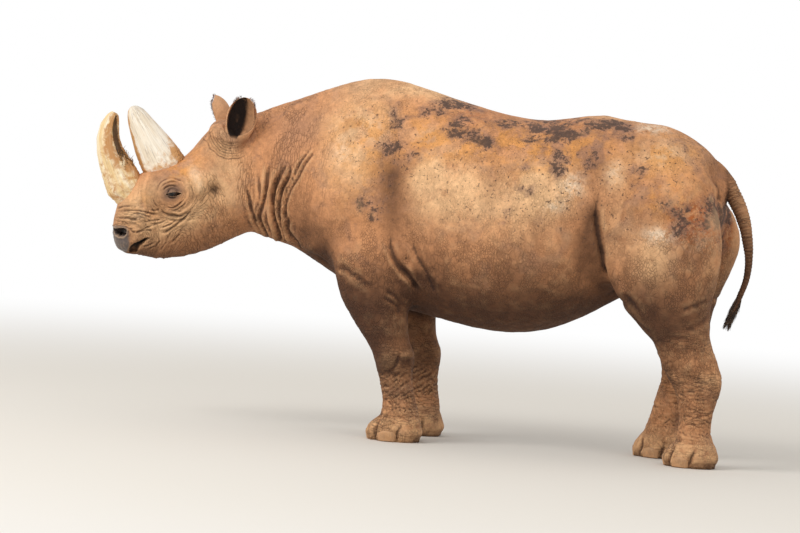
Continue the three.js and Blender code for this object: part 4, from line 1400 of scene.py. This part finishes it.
def makeHorn(node):
    made = remeshed(fromBmesh(cadCopy(node), node), hornSizes["cell"] * mm)
    roundOff(made, hornSizes["rounds"], 0.5)
    points, outward = places(made), normals(made)
    here = toHead(points)
    facing = outward @ headAxes
    line = curveThrough(hornLines[node])
    distance, along, side = lineDistance(here[:, [0, 2]], line)
    around = np.arctan2(here[:, 1], -side * distance)  # 0 at the front, half a turn at the back
    half, length = hornSizes["unrolled"]
    lie = np.stack([around * half, along * length, np.zeros(len(along))], 1)
    height = hornSizes["fibre"] * noiseField(lie * [1, 0.06, 1], 5, 61)
    height += 1.4 * noiseField(lie * [1, 0.3, 1], 36, 62)
    rough = 1 - step(0.24, 0.44, along)
    height += hornSizes["flakes"] * rough * noiseField(here, 11, 63)
    groove = np.zeros(len(along))
    if node == "horn_front":
        # the horn is worn hollow up its back, on the left
        low, high = hornSizes["hollowAt"]
        centre = low + (high - low) * step(0.55, 0.9, along) + 0.04 * noiseField(lie * [1, 0.4, 1], 30, 64)
        reach = 0.26 - 0.12 * step(0.6, 0.95, along)
        apart = np.abs(around / math.pi - centre)
        groove = step(reach, 0.4 * reach, apart) * step(0.3, 0.42, along + 0.05 * noiseField(lie, 12, 65))
        height -= hornSizes["hollow"] * groove
    here = here + facing * height[:, None]
    place(made, fromHead(here))
    setVectors(made, "lie", lie * mm)
    turned = np.abs(around) / math.pi
    rear = step(0.6, 0.9, turned)
    if node == "horn_front":
        middle = np.exp(-((turned - 0.5) / 0.17) ** 2) * step(0.28, 0.45, along)
        stain = 0.3 * step(0.5, 0.25, along) + 0.5 * rear + 0.75 * middle + 0.16
        # painted shade in the worn groove, and dirt low on the back and round the base
        dirt_and_shade = 1.3 * groove + 0.2 * step(0.42, 0.24, along) * rear + 0.25 * step(0.22, 0.12, along)
    else:
        edge = step(0.17, 0.08, turned)
        stain = 0.95 * edge + 0.8 * step(0.6, 0.2, along) * rear + 0.5 * step(0.46, 0.08, along)
        dirt_and_shade = 0.3 * step(0.4, 0.1, along) + 0.3 * rear * step(0.45, 0.25, along) + 0.3 * edge
    setAttribute(made, "stain", stain)
    setAttribute(made, "dirt_and_shade", dirt_and_shade)
    setAttribute(made, "greyed", step(0.45, 1.0, along) * step(0.1, 0.5, turned))
    horn = finished(made, node + "_shaft", hornMaterial(node))
    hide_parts(node)
    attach(horn, "root")
    return here, around, along, made


hornForms = {node: makeHorn(node) for node in hornNames}
print("made the horns")


# Thick horn worn down by walking and powdered with clay: matt, with faint upright lines.

nailLook = {
    "horn": "#B08660", "dust": "#C49468", "edge": "#DCB486", "roughness": 0.62,
    "noises": {"lines": (5, 3, 0.6, 0, (1, 1, 0.12)), "dust": (24, 4, 0.6, 0)},  # widths in mm
}


def nailMaterial():
    material, tree = newMaterial("dusty_toenail_horn")
    noise = patterns(tree, addNode(tree, "TexCoord", output="Object"), nailLook["noises"])
    colour = layered(tree, nailLook["horn"],
                     ((noise["dust"], 0.35, 0.62), nailLook["dust"]),
                     ((noise["lines"], 0.5, 0.7), 0.35, nailLook["edge"]))
    bump = addNode(tree, "Bump", {"Height": noise["lines"], "Strength": 0.4, "Distance": 0.0015})
    shader = addNode(tree, "BsdfPrincipled", {"Base Color": colour, "Normal": bump,
                                              "Roughness": nailLook["roughness"]})
    addNode(tree, "OutputMaterial", {"Surface": shader})
    return material


nailSizes = {
    "half": {"front": (19, 26), "hind": (18, 24)},  # degrees: middle toe, side toes
    "low": 3, "high": 50,  # mm above the floor
    "thick": 5.5,  # mm, how far the nail stands out of the toe
    "steps": 18,
}


def nailMesh(tree, sole, kind, side):
    # a plate wrapped round the front of a toe, thin at its rim and arched at its top
    first, second = footSizes["clefts"][kind]
    centre = side * (first + second) / 2
    half = nailSizes["half"][kind][0 if side == 0 else 1]
    count = nailSizes["steps"]
    bm = bmesh.new()
    bmesh.ops.create_grid(bm, x_segments=count, y_segments=count, size=1)
    inside = []
    for vert in bm.verts:
        u, v = vert.co.x, vert.co.y
        arch = 1 - 0.42 * abs(u) ** 2.2
        rise = nailSizes["low"] + (nailSizes["high"] - nailSizes["low"]) * (0.5 + 0.5 * v) * arch
        turn = math.radians(180 + centre + u * half)
        way = Vector((math.cos(turn), math.sin(turn), 0))
        start = Vector((sole[0], sole[1], rise * mm))
        hit = tree.ray_cast(start, way)[0]
        rim = min(1, 3.2 * (1 - abs(u)), 3.2 * (1 - v) + 0.15 * (v < 0))
        out = nailSizes["thick"] * (1 - (1 - max(rim, 0)) ** 2) * (1.15 - 0.25 * v) - 1.5
        vert.co = hit + way * out * mm
        inside.append((vert, hit - way * 4 * mm))
    made = bmesh.ops.duplicate(bm, geom=bm.verts[:] + bm.edges[:] + bm.faces[:])
    for old, spot in inside:
        made["vert_map"][old].co = spot
    bmesh.ops.reverse_faces(bm, faces=[f for f in made["geom"] if isinstance(f, bmesh.types.BMFace)])
    bmesh.ops.bridge_loops(bm, edges=[e for e in bm.edges if e.is_boundary])
    bmesh.ops.recalc_face_normals(bm, faces=bm.faces)
    return fromBmesh(bm, "nail")


nailFinish = nailMaterial()
surface = BVHTree.FromPolygons([v.co[:] for v in skin.vertices], [p.vertices[:] for p in skin.polygons])
for leg in legNames:
    bm = bmesh.new()
    for side in (-1, 0, 1):
        one = nailMesh(surface, soles[leg], leg.split("_")[0], side)
        bm.from_mesh(one)
        bpy.data.meshes.remove(one)
    nails = finished(fromBmesh(bm, "nails"), "toenails_" + leg, nailFinish)
    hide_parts(*["nail_%s_%d" % (leg, toe) for toe in (1, 2, 3)])
    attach(nails, "root")
print("made the toenails")


# A wet eyeball: nearly black pupil, dark brown iris with fine spokes, brown-stained white.

eyeLook = {
    "pupil": 7.5, "iris": 14.5, "bulge": 1.6,  # mm
    "colours": ("#050404", "#2A1A10", "#2E2019"),  # pupil, iris and white
    "noises": {"fleck": (3, 3, 0.6, 0)},
    "roughness": 0.12,
}


def eyeMaterial():
    material, tree = newMaterial("wet_dark_eye")
    noise = patterns(tree, addNode(tree, "TexCoord", output="Object"), eyeLook["noises"])
    ring = addNode(tree, "Attribute", output="Fac", attribute_name="ring")
    inner = summed(tree, (noise["fleck"], 0.05), (ring,))
    pupilEdge, irisEdge = eyeLook["pupil"] / eyeRadius, eyeLook["iris"] / eyeRadius
    pupil, iris, white = eyeLook["colours"]
    colour = layered(tree, pupil,
                     ((inner, pupilEdge + 0.02, pupilEdge + 0.06), iris),
                     ((inner, irisEdge, irisEdge + 0.06), white))
    shader = addNode(tree, "BsdfPrincipled", {"Base Color": colour, "Roughness": eyeLook["roughness"],
                                              "Specular IOR Level": 0.35})
    addNode(tree, "OutputMaterial", {"Surface": shader})
    return material


eyeFinish = eyeMaterial()
for side, sign in (("left", 1), ("right", -1)):
    bm = bmesh.new()
    bmesh.ops.create_uvsphere(bm, u_segments=64, v_segments=40, radius=eyeRadius * mm)
    mesh = fromBmesh(bm, "eye")
    centre = np.array(middleOf("eye_" + side))
    gaze = headAxes @ np.array([0.25, sign * 0.96, -0.08])
    gaze /= np.linalg.norm(gaze)
    points = places(mesh)
    toAxis = points @ gaze
    ring = np.linalg.norm(points - toAxis[:, None] * gaze, axis=1) / mm / eyeRadius
    ring = np.where(toAxis > 0, ring, 1.0)
    bulge = eyeLook["bulge"] * mm * step(eyeLook["iris"] / eyeRadius + 0.1, 0.15, ring)
    place(mesh, centre + points * (1 + bulge / (eyeRadius * mm))[:, None])
    setAttribute(mesh, "ring", ring)
    eye = finished(mesh, "eyeball_" + side, eyeFinish)
    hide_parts("eye_" + side)
    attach(eye, "root")
print("made the eyes")


# The only hair: a fringe round the rims of the ears, frayed keratin in the front horn and a brush
# on the tail. Lengths are in mm.

hairLook = {
    "ear": {"count": 620, "length": (5, 16), "width": 0.45, "colours": ("#5A3C2A", "#9C5A30"), "seed": 71},
    "horn": {"count": 260, "length": (8, 34), "width": 1.0, "colours": ("#6E4E2C", "#D0A05C"), "seed": 73},
    "tail": {"count": 620, "length": (26, 66), "width": 0.9, "colours": ("#3A302B", "#64503F"), "seed": 72},
}


def hairMaterial(name, colours):
    # coarse bristle: dull, and uneven in colour from hair to hair
    dark, light = colours
    material, tree = newMaterial(name + "_bristle")
    noise = patterns(tree, addNode(tree, "TexCoord", output="Object"), {"uneven": (14, 3, 0.6, 0)})
    colour = layered(tree, dark, ((noise["uneven"], 0.35, 0.65), light))
    shader = addNode(tree, "BsdfPrincipled", {"Base Color": colour, "Roughness": 0.6})
    addNode(tree, "OutputMaterial", {"Surface": shader})
    return material


def hairMesh(roots, ways, lengths, width, droop, unwrapped):
    # each hair is a thin three-sided spike, bent by its own weight
    count = len(roots)
    ways = ways / np.linalg.norm(ways, axis=1)[:, None]
    side = np.cross(ways, [0.31, 0.87, 0.38])
    side /= np.linalg.norm(side, axis=1)[:, None]
    other = np.cross(ways, side)
    stations = ((0, 1.0), (0.45, 0.85), (0.8, 0.5))
    verts = []
    for share, size in stations:
        middle = roots + ways * (lengths * share)[:, None] - upright * (droop * lengths * share ** 2)[:, None]
        for turn in range(3):
            angle = 2 * math.pi * turn / 3
            verts.append(middle + (side * math.cos(angle) + other * math.sin(angle)) * width * size)
    verts.append(roots + ways * lengths[:, None] - upright * (droop * lengths)[:, None])
    verts = np.stack(verts, 1).reshape(-1, 3)
    shape = []
    for low in (0, 3):
        for turn in range(3):
            shape.append((low + turn, low + (turn + 1) % 3, low + 3 + (turn + 1) % 3, low + 3 + turn))
    shape += [(6 + turn, 6 + (turn + 1) % 3, 9) for turn in range(3)] + [(2, 1, 0)]
    faces = [tuple(10 * i + v for v in face) for i in range(count) for face in shape]
    mesh = bpy.data.meshes.new("hair")
    mesh.from_pydata(verts.tolist(), [], faces)
    # a map for baking the colours, on which each hair has a small patch at its root's own place
    layer = mesh.uv_layers.new(name="OFBake")
    spread = [(0, 0), (0.001, 0), (0.0005, 0.001), (0, 0.001), (0.001, 0.001), (0.0005, 0.002),
              (0, 0.002), (0.001, 0.002), (0.0005, 0.003), (0.0005, 0.003)]
    loops = np.empty(len(mesh.loops), np.int32)
    mesh.loops.foreach_get("vertex_index", loops)
    uv = unwrapped[loops // 10] + np.array(spread)[loops % 10]
    layer.data.foreach_set("uv", uv.astype(np.float32).ravel())
    return mesh


def makeEarFringe(side):
    # along both rims of the cup, longest at the tip
    look = hairLook["ear"]
    random = np.random.default_rng(look["seed"] + (side == "left"))
    count = look["count"]
    tip = earSizes["rows"][-1][0]
    height = 100 + (tip - 2 - 100) * random.uniform(0, 1, count) ** 0.6
    inner, outer = earRims(height)
    rim = np.where(random.uniform(0, 1, count) < 0.5, inner - 3, outer + 3)
    angle = np.radians(rim + random.normal(0, 3, count))
    roots = earForm(side, angle, height, random.uniform(0.88, 0.97, count))
    away = roots - earForm(side, angle, height, 0.5)
    away /= np.linalg.norm(away, axis=1)[:, None]
    up = headAxes @ earAxes(side)[:, 2]
    tall = step(120, tip, height)
    ways = away * 0.7 + up * (0.5 + 0.6 * tall[:, None]) + random.normal(0, 0.25, roots.shape)
    shortest, longest = look["length"]
    lengths = (shortest + (longest - shortest) * tall) * random.uniform(0.5, 1, count) * mm
    unwrapped = 0.02 + 0.95 * np.stack([angle / (2 * math.pi) + 0.5, height / tip], 1)
    made = hairMesh(roots, ways, lengths, look["width"] * mm, 0.12, unwrapped)
    fringe = finished(made, "ear_fringe_" + side, earHair)
    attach(fringe, "root")


def makeHornFibres():
    # the frayed keratin at the foot of the hollow in the front horn
    look = hairLook["horn"]
    random = np.random.default_rng(look["seed"])
    here, around, along, mesh = hornForms["horn_front"]
    turned = np.abs(np.abs(around) / math.pi - 0.86)
    frayed = np.flatnonzero((turned < 0.24) & (np.abs(along - 0.36) < 0.09 + 0.05 * noiseField(here, 12, 74)))
    chosen = random.choice(frayed, look["count"], replace=False)
    outward = normals(mesh)[chosen]
    up = headAxes @ np.array([0.1, 0, 1.0])
    ways = outward * random.uniform(0.2, 1.0, len(chosen))[:, None] + up * 0.7
    ways += random.normal(0, 0.35, (len(chosen), 3))
    shortest, longest = look["length"]
    lengths = random.uniform(shortest, longest, len(chosen)) * mm
    roots = places(mesh)[chosen] - outward * mm
    unwrapped = 0.02 + 0.95 * np.stack([around[chosen] / (2 * math.pi) + 0.5, along[chosen]], 1)
    made = hairMesh(roots, ways, lengths, look["width"] * mm, 0.2, unwrapped)
    fibres = finished(made, "horn_front_fibres", hairMaterial("keratin", look["colours"]))
    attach(fibres, "root")


def makeTailBrush():
    look = hairLook["tail"]
    random = np.random.default_rng(look["seed"])
    share = 0.80 + 0.18 * random.uniform(0, 1, look["count"]) ** 0.8
    rows = tailAt(share)
    ahead = tailAt(share + 0.01) - tailAt(share - 0.01)
    run = np.stack([ahead[:, 0], np.zeros(len(share)), ahead[:, 1]], 1)
    run /= np.linalg.norm(run, axis=1)[:, None]
    # most hairs grow on the front and rear edges of the tail
    edge = random.choice([0, math.pi], len(share)) + random.normal(0, 0.55, len(share))
    across = np.cross(run, [0, 1, 0])
    out = across * np.cos(edge)[:, None] + np.array([0, 1, 0]) * np.sin(edge)[:, None]
    roots = np.stack([rows[:, 0], np.zeros(len(share)), rows[:, 1]], 1) * mm + out * (rows[:, 2:3] - 2) * mm
    ways = run * 1.0 + out * 0.15 + random.normal(0, 0.05, roots.shape)
    shortest, longest = look["length"]
    end = (1 - share) / 0.2
    grown = random.uniform(0.3, 1, len(share)) * np.minimum(1, 0.35 + end)
    lengths = (shortest + (longest - shortest) * grown) * mm
    unwrapped = 0.02 + 0.95 * np.stack([(edge / (2 * math.pi)) % 1, share], 1)
    brush = finished(hairMesh(roots, ways, lengths, look["width"] * mm, 0.04, unwrapped), "tail_brush",
                     hairMaterial("tail", look["colours"]))
    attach(brush, "root")


earHair = hairMaterial("ear", hairLook["ear"]["colours"])
for side in ("left", "right"):
    makeEarFringe(side)
makeHornFibres()
makeTailBrush()
print("made the hair")


stageLook = {
    "floor": "#E4DED4", "size": 40, "fade": (2.4, 9.0),  # metres
    "sky": 0.72,
    "key": 520, "keyPlace": (-5.5, -6.5, 7.5), "keySize": 5,
    "fill": 90, "fillPlace": (6, -7, 3.5), "fillSize": 6,
    "aim": (0, 0, 0.8),
}


def addLamp(name, place, size, power, aim):
    data = bpy.data.lights.new(name, "AREA")
    data.energy, data.size = power, size
    lamp = bpy.data.objects.new(name, data)
    bpy.context.scene.collection.objects.link(lamp)
    lamp.location = place
    lamp.rotation_mode = "QUATERNION"
    lamp.rotation_quaternion = (Vector(aim) - Vector(place)).to_track_quat("-Z", "Y")


def makeStage():
    # a pale floor that fades into the white of the studio away from the animal
    bm = bmesh.new()
    bmesh.ops.create_grid(bm, x_segments=1, y_segments=1, size=stageLook["size"])
    floor = newObject("floor", fromBmesh(bm, "floor"))
    material, tree = newMaterial("pale_floor")
    where = addNode(tree, "TexCoord", output="Object")
    far = addNode(tree, "VectorMath", (where,), "Value", operation="LENGTH")
    seen = addNode(tree, "LightPath", output="Is Camera Ray")
    share = product(tree, (far, *stageLook["fade"]), seen)
    matt = addNode(tree, "BsdfPrincipled", {"Base Color": stageLook["floor"], "Roughness": 0.9})
    blend = addNode(tree, "MixShader", (share, matt, addNode(tree, "Emission")))
    addNode(tree, "OutputMaterial", {"Surface": blend})
    floor.data.materials.append(material)

    world = bpy.data.worlds.new("studio")
    bpy.context.scene.world = world
    world.use_nodes = True
    tree = world.node_tree
    tree.nodes.clear()
    seen = addNode(tree, "LightPath", output="Is Camera Ray")
    for ray in ("Is Glossy Ray", "Is Transmission Ray"):
        seen = addNode(tree, "Math", (seen, addNode(tree, "LightPath", output=ray)), operation="MAXIMUM")
    strength = summed(tree, (seen, 1 - stageLook["sky"]), (stageLook["sky"],))
    sky = addNode(tree, "Background", {"Color": (1, 1, 1, 1), "Strength": strength})
    addNode(tree, "OutputWorld", {"Surface": sky})
    for lamp in ("key", "fill"):
        addLamp(lamp, stageLook[lamp + "Place"], stageLook[lamp + "Size"], stageLook[lamp], stageLook["aim"])


cameraPose = {"turn": 12.217, "rise": 2.528, "roll": 4.097, "distance": 16, "lens": 162.72, "sensor": 36,
              "aim": (-0.1114, 0, 0.7524)}


def makeCamera():
    turn, rise, roll = (math.radians(cameraPose[key]) for key in ("turn", "rise", "roll"))
    back = Vector((math.sin(turn) * math.cos(rise), -math.cos(turn) * math.cos(rise), math.sin(rise)))
    level = Vector((math.cos(turn), math.sin(turn), 0))
    up = back.cross(level)
    right = level * math.cos(roll) + up * math.sin(roll)
    up = up * math.cos(roll) - level * math.sin(roll)
    data = bpy.data.cameras.new("camera")
    data.sensor_width, data.lens = cameraPose["sensor"], cameraPose["lens"]
    data.clip_end = 200
    camera = bpy.data.objects.new("camera", data)
    bpy.context.scene.collection.objects.link(camera)
    camera.rotation_mode = "QUATERNION"
    camera.rotation_quaternion = Matrix((right, up, back)).transposed().to_quaternion()
    camera.location = Vector(cameraPose["aim"]) + back * cameraPose["distance"]
    bpy.context.scene.camera = camera


makeStage()
makeCamera()
bpy.context.scene.view_settings.view_transform = "Standard"
